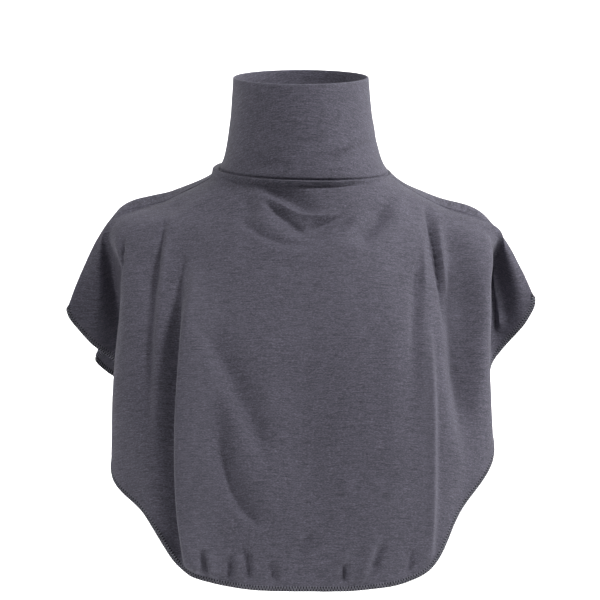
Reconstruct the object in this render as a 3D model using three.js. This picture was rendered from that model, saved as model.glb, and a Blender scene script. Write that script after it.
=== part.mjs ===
// A neck cover: a doubled turtleneck collar on a short jersey cape, with a long front bib, a shorter
// back, shoulder seams that run out along a drooping cap on each side, and an overlocked edge all round.
// Millimetres, +Z up, -Y the wearer's front, +X to the right as seen from the front. The origin is the
// middle of the neck seam, where the cover sits on the wearer's neck.
import * as THREE from 'three';

// Driving dimensions
const CLOTH = 1.2; // one layer of jersey, as a wall
const COLLAR_WALL = 2.2; // the collar is two layers, folded over at the rim
const GAP = 0.35; // clearance where two pieces meet

const NECK_HALF_WIDTH = 72;
const NECK_FRONT_DEPTH = 66;
const NECK_BACK_DEPTH = 61;
const NECK_LIFT = 3.5; // mean height of the seam over the origin
const NECK_RISE = 8.5; // how far its nape rises over that, and its front drops under it
const NECK_WAVE = 1.5; // and its sides drop
const NECK_SHIFT = 2.2; // it sits a little to the right
const NECK_TILT = 1.7; // and a little lower there

const ROOT_SPREAD = { front: 5, side: 8 }; // how far the root of the neck stands out from the seam
const ROOT_DROP = { front: 14, side: 7 }; // and how far it lies below

const RIM_HALF_WIDTH = 56.8;
const RIM_HALF_DEPTH = 58;
const RIM_SHIFT = -0.5;
const RIM_FORWARD = 12; // the rim leans forward, as a neck does
const RIM_FRONT_HEIGHT = 74;
const RIM_BACK_HEIGHT = 86;
const COLLAR_FOOT = { share: 0.3, height: 0.08 }; // how much of the closing in happens near the seam
const COLLAR_CURVE = 1.5; // roundness of the taper above it
const COLLAR_LAP = 0.4; // the wall thickens where it is sewn

const ALLOWANCE = 6; // neck seam allowance, turned down inside
const ALLOWANCE_WALL = 1.8;
const SHOULDER_ALLOWANCE = 5; // to each side of a shoulder seam
const SHOULDER_WALL = 1.1;
const EDGING_WIDTH = 3.4; // overlocked edge, across the cloth
const EDGING_THICKNESS = 2.2;
const EDGING_SIDES = 6;

// The levels of the cape from the neck seam down: the rows of mesh that lead down to each, the share of a
// section's rightShift that it takes, and how much lower the right shoulder is there.
const LEVELS = [
  { name: 'neck', rows: 0, shift: 0, rightDrop: 0 },
  { name: 'root', rows: 2, shift: 0, rightDrop: 0 },
  { name: 'slope', rows: 3, shift: 0, rightDrop: 3.5 },
  { name: 'yoke', rows: 3, shift: 0, rightDrop: 5 },
  { name: 'chest', rows: 4, shift: 0.5, rightDrop: 3 },
  { name: 'waist', rows: 4, shift: 0.75, rightDrop: 0 },
  { name: 'hem', rows: 4, shift: 1, rightDrop: 0 },
];

// The sections of the cape, each a line of the cloth from the neck seam to the hem, on the left side.
// turn is its angle round the neck from the front, each level is [outwards from the middle, depth,
// height], and cells is the number of mesh columns to the next section. The right side mirrors it,
// moved by rightShift [outwards, up] at the hem and by less above, or has a line of its own below.
const SECTIONS = [
  {
    name: 'front centre', turn: 0, cells: 4, rightShift: [0, 0],
    slope: [0, -78, -36], yoke: [0, -86, -62], chest: [0, -106, -140],
    waist: [0, -111, -240], hem: [0, -101, -333],
  },
  {
    name: 'front inner', turn: 16, cells: 4, rightShift: [12, 0],
    slope: [25, -76, -36], yoke: [29, -84, -61], chest: [32, -107, -139],
    waist: [34, -114, -238], hem: [42, -99, -332],
  },
  {
    name: 'bust', turn: 31, cells: 4, rightShift: [11, 0],
    slope: [48, -67, -34], yoke: [60, -75, -57], chest: [68, -102, -134],
    waist: [71, -110, -230], hem: [76, -93, -327],
  },
  {
    name: 'pleat', turn: 44, cells: 4, rightShift: [8, 1],
    slope: [70, -54, -32], yoke: [91, -57, -52], chest: [102, -86, -124],
    waist: [103, -98, -214], hem: [99, -88, -317],
  },
  {
    name: 'chest side', turn: 56, cells: 4, rightShift: [1, 2],
    slope: [90, -39, -30], yoke: [119, -41, -49], chest: [132, -71, -113],
    waist: [134, -84, -194], hem: [129.5, -79, -273],
  },
  {
    name: 'front crest', turn: 66, cells: 3,
    slope: [105, -23, -28], yoke: [150, -24, -49], chest: [148.5, -51, -101],
    waist: [155.5, -61, -172], hem: [157, -60, -246],
  },
  {
    name: 'front turn', turn: 72, cells: 2,
    slope: [110, -15, -26], yoke: [157, -15, -48], chest: [150.5, -16, -88],
    waist: [150, -22, -146], hem: [151, -24, -204],
  },
  {
    name: 'front valley', turn: 76, cells: 2,
    slope: [112, -10, -25], yoke: [160, -8, -46.5], chest: [159.5, 8, -86],
    waist: [155, 17, -124], hem: [155, 16, -166],
  },
  {
    name: 'cap front', turn: 80, cells: 3,
    slope: [113, -6, -24], yoke: [164, -3, -44.5], chest: [171, -3, -70],
    waist: [174, 2, -105], hem: [180, 7, -142],
  },
  {
    name: 'shoulder seam', turn: 83, cells: 2,
    slope: [113, -3, -23], yoke: [156, 0, -36.5], chest: [174, 5, -57],
    waist: [189, 8, -88], hem: [201, 9, -117],
  },
  {
    name: 'cap back', turn: 88, cells: 2, rightShift: [-4, 12],
    slope: [109, 10, -16], yoke: [153, 10, -30], chest: [168, 16, -62],
    waist: [177, 21, -98], hem: [187, 24, -135],
  },
  {
    name: 'back valley', turn: 96, cells: 2, rightShift: [-10, 12],
    slope: [107, 22, -16], yoke: [149, 22, -32], chest: [159, 29, -74],
    waist: [163, 33, -113], hem: [170, 38, -152],
  },
  {
    name: 'back crest', turn: 108, cells: 3, rightShift: [-18, 12],
    slope: [98, 38, -18], yoke: [134, 38, -35], chest: [158, 47, -86],
    waist: [171, 51, -126], hem: [180, 51, -163],
  },
  {
    name: 'shoulder blade', turn: 128, cells: 3, rightShift: [-4, 4],
    slope: [76, 56, -20], yoke: [102, 61, -37], chest: [121, 77, -96],
    waist: [127, 84, -150], hem: [129, 84, -205],
  },
  {
    name: 'back inner', turn: 154, cells: 3, rightShift: [0, 0],
    slope: [42, 71, -19], yoke: [54, 80, -38], chest: [63, 96, -106],
    waist: [66, 100, -172], hem: [67, 98, -240],
  },
  {
    name: 'back centre', turn: 180, cells: 0, rightShift: [0, 0],
    slope: [0, 76, -18], yoke: [0, 85, -38], chest: [0, 100, -108],
    waist: [0, 102, -180], hem: [0, 99, -254],
  },
];

// Lines of the right side that are too unlike the left ones to mirror them, as they lie
const RIGHT_SECTIONS = [
  {
    name: 'front crest',
    slope: [105, -23, -31], yoke: [154, -24, -54], chest: [155.5, -53, -96],
    waist: [156, -62, -161], hem: [158.5, -60, -231],
  },
  {
    name: 'front turn',
    slope: [110, -15, -29.5], yoke: [158, -15, -52.5], chest: [153, -20, -87],
    waist: [152, -18, -137], hem: [156, -20, -190],
  },
  {
    name: 'front valley',
    slope: [112, -10, -28.5], yoke: [163, -8, -51], chest: [163, 12, -78],
    waist: [165, 16, -117], hem: [166, 15, -157],
  },
  {
    name: 'cap front',
    slope: [113, -6, -27.5], yoke: [167, -3, -49], chest: [173, -1, -66],
    waist: [184, 2, -98], hem: [191, 7, -124],
  },
  {
    name: 'shoulder seam',
    slope: [113, -3, -26.5], yoke: [158, 0, -42], chest: [172, 5, -56.5],
    waist: [187, 8, -82], hem: [199, 9, -107],
  },
];

// Folds of the panels as seen from the front, each along a bowed line through start, middle and end
// [x, z]. depth is how far it sinks into the cloth, less than nothing for a ridge, left and right are its
// widths to the two sides of the line, and fadeIn and fadeOut are the shares of its length that the ends
// take to die away.
const FRONT_FOLDS = [
  {
    name: 'left pleat', start: [-92, -46], middle: [-104, -190], end: [-95.5, -338],
    depth: 7, left: 10, right: 5, fadeIn: 0.3, fadeOut: 0.12,
  },
  {
    name: 'left pleat edge', start: [-87, -60], middle: [-96, -190], end: [-88, -338],
    depth: -3, left: 5, right: 17, fadeIn: 0.3, fadeOut: 0.1,
  },
  {
    name: 'left cap groove', start: [-115, -40], middle: [-124.5, -135], end: [-123, -250],
    depth: 4.5, left: 9, right: 6, fadeIn: 0.3, fadeOut: 0.5,
  },
  {
    name: 'right cap groove', start: [103, -28], middle: [110, -73], end: [113, -135],
    depth: 4, left: 8, right: 8, fadeIn: 0.25, fadeOut: 0.6,
  },
  {
    name: 'right ridge', start: [108, -115], middle: [110, -220], end: [106, -325],
    depth: -2.2, left: 11, right: 11, fadeIn: 0.3, fadeOut: 0.1,
  },
  {
    name: 'right side hollow', start: [124, -42], middle: [130, -146], end: [140, -245],
    depth: 9, left: 11, right: 15, fadeIn: 0.3, fadeOut: 0.4,
  },
  {
    name: 'lower left groove', start: [-69, -160], middle: [-62, -235], end: [-32, -283],
    depth: 2.6, left: 11, right: 11, fadeIn: 0.4, fadeOut: 0.4,
  },
  {
    name: 'diagonal hollow', start: [-75, -108], middle: [-50, -178], end: [-24, -248],
    depth: 4, left: 8, right: 16, fadeIn: 0.35, fadeOut: 0.35,
  },
  {
    name: 'middle hollow', start: [12, -110], middle: [12, -205], end: [18, -300],
    depth: 2.2, left: 26, right: 26, fadeIn: 0.4, fadeOut: 0.4,
  },
  {
    name: 'upper drape', start: [-16, -24], middle: [6, -28], end: [30, -25],
    depth: 5, left: 6, right: 8, fadeIn: 0.3, fadeOut: 0.4,
  },
  {
    name: 'long drape', start: [-34, -20], middle: [-8, -40], end: [34, -36],
    depth: 5, left: 7, right: 7, fadeIn: 0.3, fadeOut: 0.4,
  },
  {
    name: 'right drape', start: [42, -56], middle: [60, -43], end: [70, -22],
    depth: 3, left: 10, right: 10, fadeIn: 0.3, fadeOut: 0.3,
  },
];
const BACK_FOLDS = [
  {
    name: 'left back groove', start: [-84, -50], middle: [-92, -110], end: [-94, -200],
    depth: 3, left: 12, right: 12, fadeIn: 0.3, fadeOut: 0.3,
  },
  {
    name: 'right back groove', start: [84, -50], middle: [93, -110], end: [97, -200],
    depth: 3, left: 12, right: 12, fadeIn: 0.3, fadeOut: 0.3,
  },
  {
    name: 'back hollow', start: [0, -60], middle: [2, -140], end: [0, -245],
    depth: 2, left: 24, right: 24, fadeIn: 0.4, fadeOut: 0.4,
  },
];
const FOLD_SAMPLES = 96;

// Surface of the cape

const { degToRad, lerp, smoothstep } = THREE.MathUtils;
const SEAM_ROW = SECTIONS.findIndex((section) => section.name === 'shoulder seam');
const BACK_ROW = SECTIONS.length - 1;
const RING_SIZE = 2 * BACK_ROW;
const LAST_LEVEL = LEVELS.length - 1;

// A point of the neck seam, lower at the front than at the nape; side is -1 on the left and 1 on the right
function neckPoint(turnDegrees, side) {
  const turn = degToRad(turnDegrees);
  const depth = Math.cos(turn) > 0 ? NECK_FRONT_DEPTH : NECK_BACK_DEPTH;
  const outwards = side * Math.sin(turn);
  return new THREE.Vector3(
    NECK_SHIFT + NECK_HALF_WIDTH * outwards,
    -depth * Math.cos(turn),
    NECK_LIFT - NECK_RISE * Math.cos(turn) + NECK_WAVE * Math.cos(2 * turn) - NECK_TILT * outwards,
  );
}

// The root of the neck, where the cloth has dropped steeply from the seam and starts to spread
function rootPoint(turnDegrees, side) {
  const turn = degToRad(turnDegrees);
  const sideways = Math.abs(Math.sin(turn));
  const spread = lerp(ROOT_SPREAD.front, ROOT_SPREAD.side, sideways);
  const drop = lerp(ROOT_DROP.front, ROOT_DROP.side, sideways);
  const move = new THREE.Vector3(side * spread * Math.sin(turn), -spread * Math.cos(turn), -drop);
  return neckPoint(turnDegrees, side).add(move);
}

// One section as a curve from the neck seam to the hem
function sectionCurve(section, side) {
  const own = side > 0 && RIGHT_SECTIONS.find((line) => line.name === section.name);
  const sideways = Math.sin(degToRad(section.turn));
  const points = LEVELS.map((level) => {
    if (level.name === 'neck') return neckPoint(section.turn, side);
    if (level.name === 'root') return rootPoint(section.turn, side);
    const point = new THREE.Vector3(...(own || section)[level.name]);
    if (side > 0 && !own) {
      const [moveOut, moveUp] = section.rightShift;
      point.x += level.shift * moveOut;
      point.z += level.shift * moveUp - level.rightDrop * sideways;
    }
    point.x *= side;
    return point;
  });
  return new THREE.CatmullRomCurve3(points, false, 'centripetal');
}

// The closed ring of sections: front centre, down the left side to the back centre, and up the right
const ring = Array.from({ length: RING_SIZE }, (_, index) => (
  sectionCurve(SECTIONS[Math.min(index, RING_SIZE - index)], index <= BACK_ROW ? -1 : 1)));

// The smooth cape, without folds, at ring position u, in sections, and level position v
const loops = new Map();
function capePoint(u, v) {
  if (!loops.has(v)) {
    const points = ring.map((curve) => curve.getPoint(v / LAST_LEVEL));
    loops.set(v, new THREE.CatmullRomCurve3(points, true, 'centripetal'));
  }
  return loops.get(v).getPoint((u / RING_SIZE + 1) % 1);
}

// Its outward normal, from a small step each way
function capeNormal(u, v) {
  const step = 0.02;
  const across = capePoint(u + step, v).sub(capePoint(u - step, v));
  const down = capePoint(u, Math.min(v + step, LAST_LEVEL)).sub(capePoint(u, Math.max(v - step, 0)));
  return across.cross(down).normalize();
}

// Folds

// The line of a fold as points, each with the direction that lies to its right in the front view when the
// line is read downwards
function foldLine(fold) {
  const [start, middle, end] = [fold.start, fold.middle, fold.end].map(([x, z]) => new THREE.Vector2(x, z));
  const control = middle.clone().multiplyScalar(2).sub(start.clone().add(end).multiplyScalar(0.5));
  const curve = new THREE.QuadraticBezierCurve(start, control, end);
  return Array.from({ length: FOLD_SAMPLES + 1 }, (_, index) => {
    const share = index / FOLD_SAMPLES;
    const tangent = curve.getTangent(share);
    return { share, place: curve.getPoint(share), right: new THREE.Vector2(-tangent.y, tangent.x) };
  });
}

// How far a fold lifts the cloth at a point, less than nothing where it sinks
function foldLift(fold, line, point) {
  const here = new THREE.Vector2(point.x, point.z);
  const distance = (sample) => sample.place.distanceTo(here);
  const nearest = line.reduce((best, sample) => (distance(sample) < distance(best) ? sample : best));
  const away = distance(nearest);
  const isRight = here.sub(nearest.place).dot(nearest.right) > 0;
  const width = isRight ? fold.right : fold.left;
  const fadeIn = smoothstep(nearest.share, 0, fold.fadeIn);
  const fadeOut = smoothstep(1 - nearest.share, 0, fold.fadeOut);
  return -fold.depth * fadeIn * fadeOut * Math.exp(-((away / width) ** 2));
}

// Ring positions of the mesh columns between two sections
function columnPositions(fromRow, toRow) {
  const positions = [];
  for (let row = fromRow; row < toRow; row += 1) {
    const { cells } = SECTIONS[row];
    for (let cell = 0; cell < cells; cell += 1) positions.push(row + cell / cells);
  }
  return [...positions, toRow];
}

const frontHalf = columnPositions(0, SEAM_ROW);
const backHalf = columnPositions(SEAM_ROW, BACK_ROW);
const frontColumns = [...frontHalf.slice(1).reverse().map((u) => -u), ...frontHalf];
const backColumns = [...backHalf.slice(0, -1), ...backHalf.slice().reverse().map((u) => RING_SIZE - u)];
const meshRows = [0];
LEVELS.forEach((level, index) => {
  for (let row = 1; row <= level.rows; row += 1) meshRows.push(index - 1 + row / level.rows);
});

// The outer face of a panel with its folds: a grid with a line of points for each mesh row, drawn back
// from the pieces next to it, and its normals, which both panels share along the shoulder seams
function panelFace(columns, folds) {
  const lines = folds.map(foldLine);
  const grid = meshRows.map((v) => columns.map((u) => {
    const point = capePoint(u, v);
    const lift = folds.reduce((sum, fold, index) => sum + foldLift(fold, lines[index], point), 0);
    return point.addScaledVector(capeNormal(u, v), lift);
  }));
  const normals = gridNormals(grid);
  grid[0].forEach((point, j) => drawTowards(point, grid[1][j], GAP));
  grid.forEach((line, i) => {
    drawTowards(line[0], line[1], GAP / 2);
    drawTowards(line.at(-1), line.at(-2), GAP / 2);
    normals[i][0] = capeNormal(columns[0], meshRows[i]);
    normals[i][columns.length - 1] = capeNormal(columns.at(-1), meshRows[i]);
  });
  return { grid, normals };
}

function drawTowards(point, target, distance) {
  point.addScaledVector(target.clone().sub(point).normalize(), distance);
}

// Outward normals of a grid, from each point's neighbours
function gridNormals(grid) {
  const lastRow = grid.length - 1;
  const lastColumn = grid[0].length - 1;
  return grid.map((line, i) => line.map((_, j) => {
    const across = line[Math.min(j + 1, lastColumn)].clone().sub(line[Math.max(j - 1, 0)]);
    const down = grid[Math.min(i + 1, lastRow)][j].clone().sub(grid[Math.max(i - 1, 0)][j]);
    return across.cross(down).normalize();
  }));
}

const sink = (grid, normals, depth) => (
  grid.map((line, i) => line.map((point, j) => point.clone().addScaledVector(normals[i][j], -depth))));

// Closed meshes

function meshGeometry(points, quads) {
  const geometry = new THREE.BufferGeometry();
  const coordinates = points.flatMap((point) => point.toArray());
  geometry.setAttribute('position', new THREE.Float32BufferAttribute(coordinates, 3));
  geometry.setIndex(quads.flatMap(([a, b, c, d]) => [a, b, c, a, c, d]));
  geometry.computeVertexNormals();
  return geometry;
}

// A wall between an outer and an inner grid of the same size
function wallGeometry(outer, inner) {
  const bottom = outer.length - 1;
  const right = outer[0].length - 1;
  const outside = (i, j) => i * (right + 1) + j;
  const inside = (i, j) => outside(bottom + 1 + i, j);
  const quads = [];
  for (let i = 0; i < bottom; i += 1) {
    for (let j = 0; j < right; j += 1) {
      quads.push([outside(i, j), outside(i, j + 1), outside(i + 1, j + 1), outside(i + 1, j)]);
      quads.push([inside(i, j), inside(i + 1, j), inside(i + 1, j + 1), inside(i, j + 1)]);
    }
    quads.push([outside(i, 0), outside(i + 1, 0), inside(i + 1, 0), inside(i, 0)]);
    quads.push([outside(i + 1, right), outside(i, right), inside(i, right), inside(i + 1, right)]);
  }
  for (let j = 0; j < right; j += 1) {
    quads.push([outside(0, j + 1), outside(0, j), inside(0, j), inside(0, j + 1)]);
    quads.push([outside(bottom, j), outside(bottom, j + 1), inside(bottom, j + 1), inside(bottom, j)]);
  }
  return meshGeometry([...outer.flat(), ...inner.flat()], quads);
}

// A closed profile, running up its outer face, carried round the closed ring
function loopGeometry(profiles) {
  const size = profiles[0].length;
  const quads = [];
  profiles.forEach((_, i) => {
    const next = (i + 1) % profiles.length;
    for (let k = 0; k < size; k += 1) {
      const above = (k + 1) % size;
      quads.push([i * size + k, i * size + above, next * size + above, next * size + k]);
    }
  });
  return meshGeometry(profiles.flat(), quads);
}

// Collar

// Its profile from the seam up the outer face, over the folded rim and down the inner face: the share of
// the height, and how far in from the outer face
const COLLAR_PROFILE = [
  { share: 0, inset: 0 },
  { share: 0.06, inset: 0 },
  { share: 0.16, inset: 0 },
  { share: 0.5, inset: 0 },
  { share: 0.985, inset: 0 },
  { share: 1, inset: 0.5 * COLLAR_WALL },
  { share: 0.985, inset: COLLAR_WALL },
  { share: 0.5, inset: COLLAR_WALL },
  { share: 0.16, inset: COLLAR_WALL },
  { share: 0.06, inset: COLLAR_WALL + COLLAR_LAP },
];

// How far the collar has closed in from the seam to the rim at a share of its height: a quick foot, then
// a slow taper
function collarTaper(share) {
  const foot = 1 - Math.exp(-share / COLLAR_FOOT.height);
  const taper = 1 - (1 - share) ** COLLAR_CURVE;
  return lerp(taper, foot, COLLAR_FOOT.share);
}

function collarPoint(seam, share, inset) {
  const turn = Math.atan2(seam.x - NECK_SHIFT, -seam.y);
  const outwards = new THREE.Vector3(Math.sin(turn), -Math.cos(turn), 0);
  const towardsBack = (1 - Math.cos(turn)) / 2;
  const rim = new THREE.Vector3(
    RIM_SHIFT + RIM_HALF_WIDTH * outwards.x,
    RIM_HALF_DEPTH * outwards.y - RIM_FORWARD,
    lerp(RIM_FRONT_HEIGHT, RIM_BACK_HEIGHT, towardsBack),
  );
  const point = seam.clone().lerp(rim, collarTaper(share));
  point.z = lerp(seam.z, rim.z, share);
  return point.addScaledVector(outwards, -inset);
}

// One ring of the collar: its profile, and the seam allowance turned down under the cape
function collarRing(u) {
  const seam = capePoint(u, 0);
  const normal = capeNormal(u, 0);
  const down = capePoint(u, 0.3).sub(seam).normalize();
  const depth = CLOTH + GAP;
  const under = (below, inwards) => (
    seam.clone().addScaledVector(down, below).addScaledVector(normal, -inwards));
  return [
    ...COLLAR_PROFILE.map(({ share, inset }) => collarPoint(seam, share, inset)),
    under(ALLOWANCE, depth + ALLOWANCE_WALL),
    under(ALLOWANCE, depth),
    under(0, depth),
  ];
}

// Seams and edging

// A place on a line of points, at a distance from its start
function walk(line, distance) {
  let left = distance;
  for (let index = 1; index < line.length; index += 1) {
    const step = line[index - 1].distanceTo(line[index]);
    if (left <= step) return line[index - 1].clone().lerp(line[index], left / step);
    left -= step;
  }
  return line.at(-1).clone();
}

// The allowance inside a shoulder seam: a flat strip under the edges of the panel before it on the ring
// and the panel after it
function shoulderSeam(before, after) {
  const firstRow = LEVELS[1].rows + 1; // clear of the neck seam's allowance
  const lines = before.grid.slice(firstRow).map((line, i) => {
    const nextLine = after.grid[firstRow + i];
    return [
      walk(line.slice().reverse(), SHOULDER_ALLOWANCE),
      line.at(-1).clone().lerp(nextLine[0], 0.5),
      walk(nextLine, SHOULDER_ALLOWANCE),
    ];
  });
  const normals = gridNormals(lines);
  const depth = CLOTH + 2 * GAP;
  return wallGeometry(sink(lines, normals, depth), sink(lines, normals, depth + SHOULDER_WALL));
}

// The overlocked edge: a rounded strip along the hem of a panel
function edgingProfiles({ grid, normals }) {
  return grid.at(-1).slice(0, -1).map((hem, j) => {
    const normal = normals.at(-1)[j];
    const outwards = hem.clone().sub(grid.at(-2)[j]).normalize();
    const middle = hem.clone()
      .addScaledVector(outwards, GAP + EDGING_WIDTH / 2)
      .addScaledVector(normal, -CLOTH / 2);
    return Array.from({ length: EDGING_SIDES }, (_, side) => {
      const turn = (2 * Math.PI * side) / EDGING_SIDES;
      return middle.clone()
        .addScaledVector(outwards, Math.cos(turn) * EDGING_WIDTH / 2)
        .addScaledVector(normal, Math.sin(turn) * EDGING_THICKNESS / 2);
    });
  });
}

// Pieces

const jersey = new THREE.MeshStandardMaterial({ color: 0x56555e, roughness: 0.9, metalness: 0 });
const insideSeam = new THREE.MeshStandardMaterial({ color: 0x4a4951, roughness: 0.9, metalness: 0 });
const overlock = new THREE.MeshStandardMaterial({ color: 0x45444b, roughness: 0.85, metalness: 0 });

function piece(name, geometry, material) {
  const mesh = new THREE.Mesh(geometry, material);
  mesh.name = name;
  return mesh;
}

function panel(name, { grid, normals }) {
  return piece(name, wallGeometry(grid, sink(grid, normals, CLOTH)), jersey);
}

const collarColumns = [...frontColumns.slice(0, -1), ...backColumns.slice(0, -1)];
const front = panelFace(frontColumns, FRONT_FOLDS);
const back = panelFace(backColumns, BACK_FOLDS);

const neckCover = new THREE.Group();
neckCover.name = 'neck_cover';
neckCover.add(
  piece('collar', loopGeometry(collarColumns.map(collarRing)), jersey),
  panel('front_panel', front),
  panel('back_panel', back),
  piece('left_shoulder_seam', shoulderSeam(front, back), insideSeam),
  piece('right_shoulder_seam', shoulderSeam(back, front), insideSeam),
  piece('hem_edging', loopGeometry([...edgingProfiles(front), ...edgingProfiles(back)]), overlock),
);

export default neckCover;
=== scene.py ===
"""A neck cover of grey jersey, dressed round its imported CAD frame.

The collar and the two panels of the cape are rebuilt on fine grids from the sections and folds that the
CAD source uses, and get the small creases, rolled seams, knit and overlocked edge that the solids leave
out. Tables are in millimetres, +Z up, -Y the front, +X to the right as seen from the front.
"""

import logging
import math
from dataclasses import dataclass
from enum import Enum

import bpy
import numpy as np
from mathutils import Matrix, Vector, noise


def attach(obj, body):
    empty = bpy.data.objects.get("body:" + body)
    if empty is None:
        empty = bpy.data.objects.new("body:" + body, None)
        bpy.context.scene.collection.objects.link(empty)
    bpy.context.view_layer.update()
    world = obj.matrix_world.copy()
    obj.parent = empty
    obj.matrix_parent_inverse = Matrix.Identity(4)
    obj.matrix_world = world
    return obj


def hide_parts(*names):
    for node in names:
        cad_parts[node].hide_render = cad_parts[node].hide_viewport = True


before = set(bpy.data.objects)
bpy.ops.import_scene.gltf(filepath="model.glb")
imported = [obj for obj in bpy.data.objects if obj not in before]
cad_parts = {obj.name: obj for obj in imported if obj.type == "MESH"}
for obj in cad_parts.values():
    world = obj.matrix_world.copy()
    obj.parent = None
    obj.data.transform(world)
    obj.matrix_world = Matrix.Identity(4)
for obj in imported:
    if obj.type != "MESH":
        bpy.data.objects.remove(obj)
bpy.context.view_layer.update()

log = logging.getLogger("neck_cover")

BODY = "root"
METRES = 0.001
SHARP_ANGLE = math.radians(55)
TINY = 1e-4
STITCH_PITCH = 2.3

# Where the camera looks, in metres, and what most of a noise's values lie between
COVER_MIDDLE = (-0.0013, 0, -0.1088)
NOISE_RANGE = (0.3, 0.7)

# A line is its points with two directions at each, and a ring its points, its place on the cloth and its rub
Array = np.ndarray
Line = tuple[Array, Array, Array]
Ring = tuple[Array, float, float]

# The cloth and its neck seam, as in the CAD source
CLOTH = 1.2
GAP = 0.35
NECK_HALF_WIDTH = 72.0
NECK_FRONT_DEPTH = 66.0
NECK_BACK_DEPTH = 61.0
NECK_LIFT = 3.5
NECK_RISE = 8.5
NECK_WAVE = 1.5
NECK_SHIFT = 2.2
NECK_TILT = 1.7
ROOT_SPREAD_FRONT = 5.0
ROOT_SPREAD_SIDE = 8.0
ROOT_DROP_FRONT = 14.0
ROOT_DROP_SIDE = 7.0

# The hollow and the groove under the neck seam in front, which the solids leave out
HOLLOW_DEPTH = 6.0
HOLLOW_START = 2.4
HOLLOW_DROP = 2.4
HOLLOW_LENGTH = 42.0
HOLLOW_SHIFT = -16.0
HOLLOW_HALF_WIDTH = 62.0
HOLLOW_REACH = 1.45
GROOVE_DEPTH = 3.8
GROOVE_DROP = 3.5
GROOVE_HALF_WIDTH = 1.7

# How far below the neck seam the folds reach their whole depth
FOLD_START = 7.0

# The finer part of the cloth's slow waves
FINE_WAVE_SHARE = 0.4
FINE_WAVE_RATE = 2.3
FINE_WAVE_OFFSET = 7

# How far below the neck seam a panel's rows are fine, how far they are middling, and how slowly they change
SEAM_ZONE = 12
DRAPE_ZONE = 75
COARSENING = 60


class Level(Enum):
    """Levels of the cape from the neck seam down.

    Each holds the share of a section's right shift that it takes, how much lower the right side hangs
    there, and the field of the section that has its point. The first two follow from the neck seam.
    """

    NECK = (0.0, 0.0, "neck")
    ROOT = (0.0, 0.0, "root")
    SLOPE = (0.0, 3.5, "slope")
    YOKE = (0.0, 5.0, "yoke")
    CHEST = (0.5, 3.0, "chest")
    WAIST = (0.75, 0.0, "waist")
    HEM = (1.0, 0.0, "hem")


LEVELS = list(Level)
LAST_LEVEL = len(LEVELS) - 1


@dataclass(frozen=True)
class Section:
    """One line of the cape on its left side, from the neck seam to the hem.

    Attributes:
        name: what the line follows.
        turn: its angle round the neck from the front, in degrees.
        right_shift: how far the right side is moved outwards and up at the hem.
        slope: outwards, depth and height at that level, as for the levels after it.
        yoke: the same at the yoke.
        chest: the same at the chest.
        waist: the same at the waist.
        hem: the same at the hem.
    """

    name: str
    turn: float
    right_shift: tuple[float, float]
    slope: tuple[float, float, float]
    yoke: tuple[float, float, float]
    chest: tuple[float, float, float]
    waist: tuple[float, float, float]
    hem: tuple[float, float, float]

    def line(self, side: int, mirrored: bool = True) -> Array:
        """The seven points of the line.

        Args:
            side: -1 on the left and 1 on the right.
            mirrored: whether the right side is made from the left.

        Returns:
            Points in millimetres, one for each level.
        """
        turn = math.radians(self.turn)
        across = side * math.sin(turn)
        sideways = abs(across)
        depth = NECK_FRONT_DEPTH if math.cos(turn) > 0 else NECK_BACK_DEPTH
        wave = NECK_WAVE * math.cos(2 * turn) - NECK_TILT * across
        neck = np.array([
            NECK_SHIFT + NECK_HALF_WIDTH * across,
            -depth * math.cos(turn),
            NECK_LIFT - NECK_RISE * math.cos(turn) + wave,
        ])
        spread = ROOT_SPREAD_FRONT + (ROOT_SPREAD_SIDE - ROOT_SPREAD_FRONT) * sideways
        drop = ROOT_DROP_FRONT + (ROOT_DROP_SIDE - ROOT_DROP_FRONT) * sideways
        root = neck + [spread * across, -spread * math.cos(turn), -drop]
        points = [neck, root]
        for level in LEVELS[2:]:
            shift, right_drop, key = level.value
            point = np.array(getattr(self, key), float)
            if side > 0 and mirrored:
                point[0] += shift * self.right_shift[0]
                point[2] += shift * self.right_shift[1] - right_drop * math.sin(turn)
            point[0] *= side
            points.append(point)
        return np.array(points)


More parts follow.
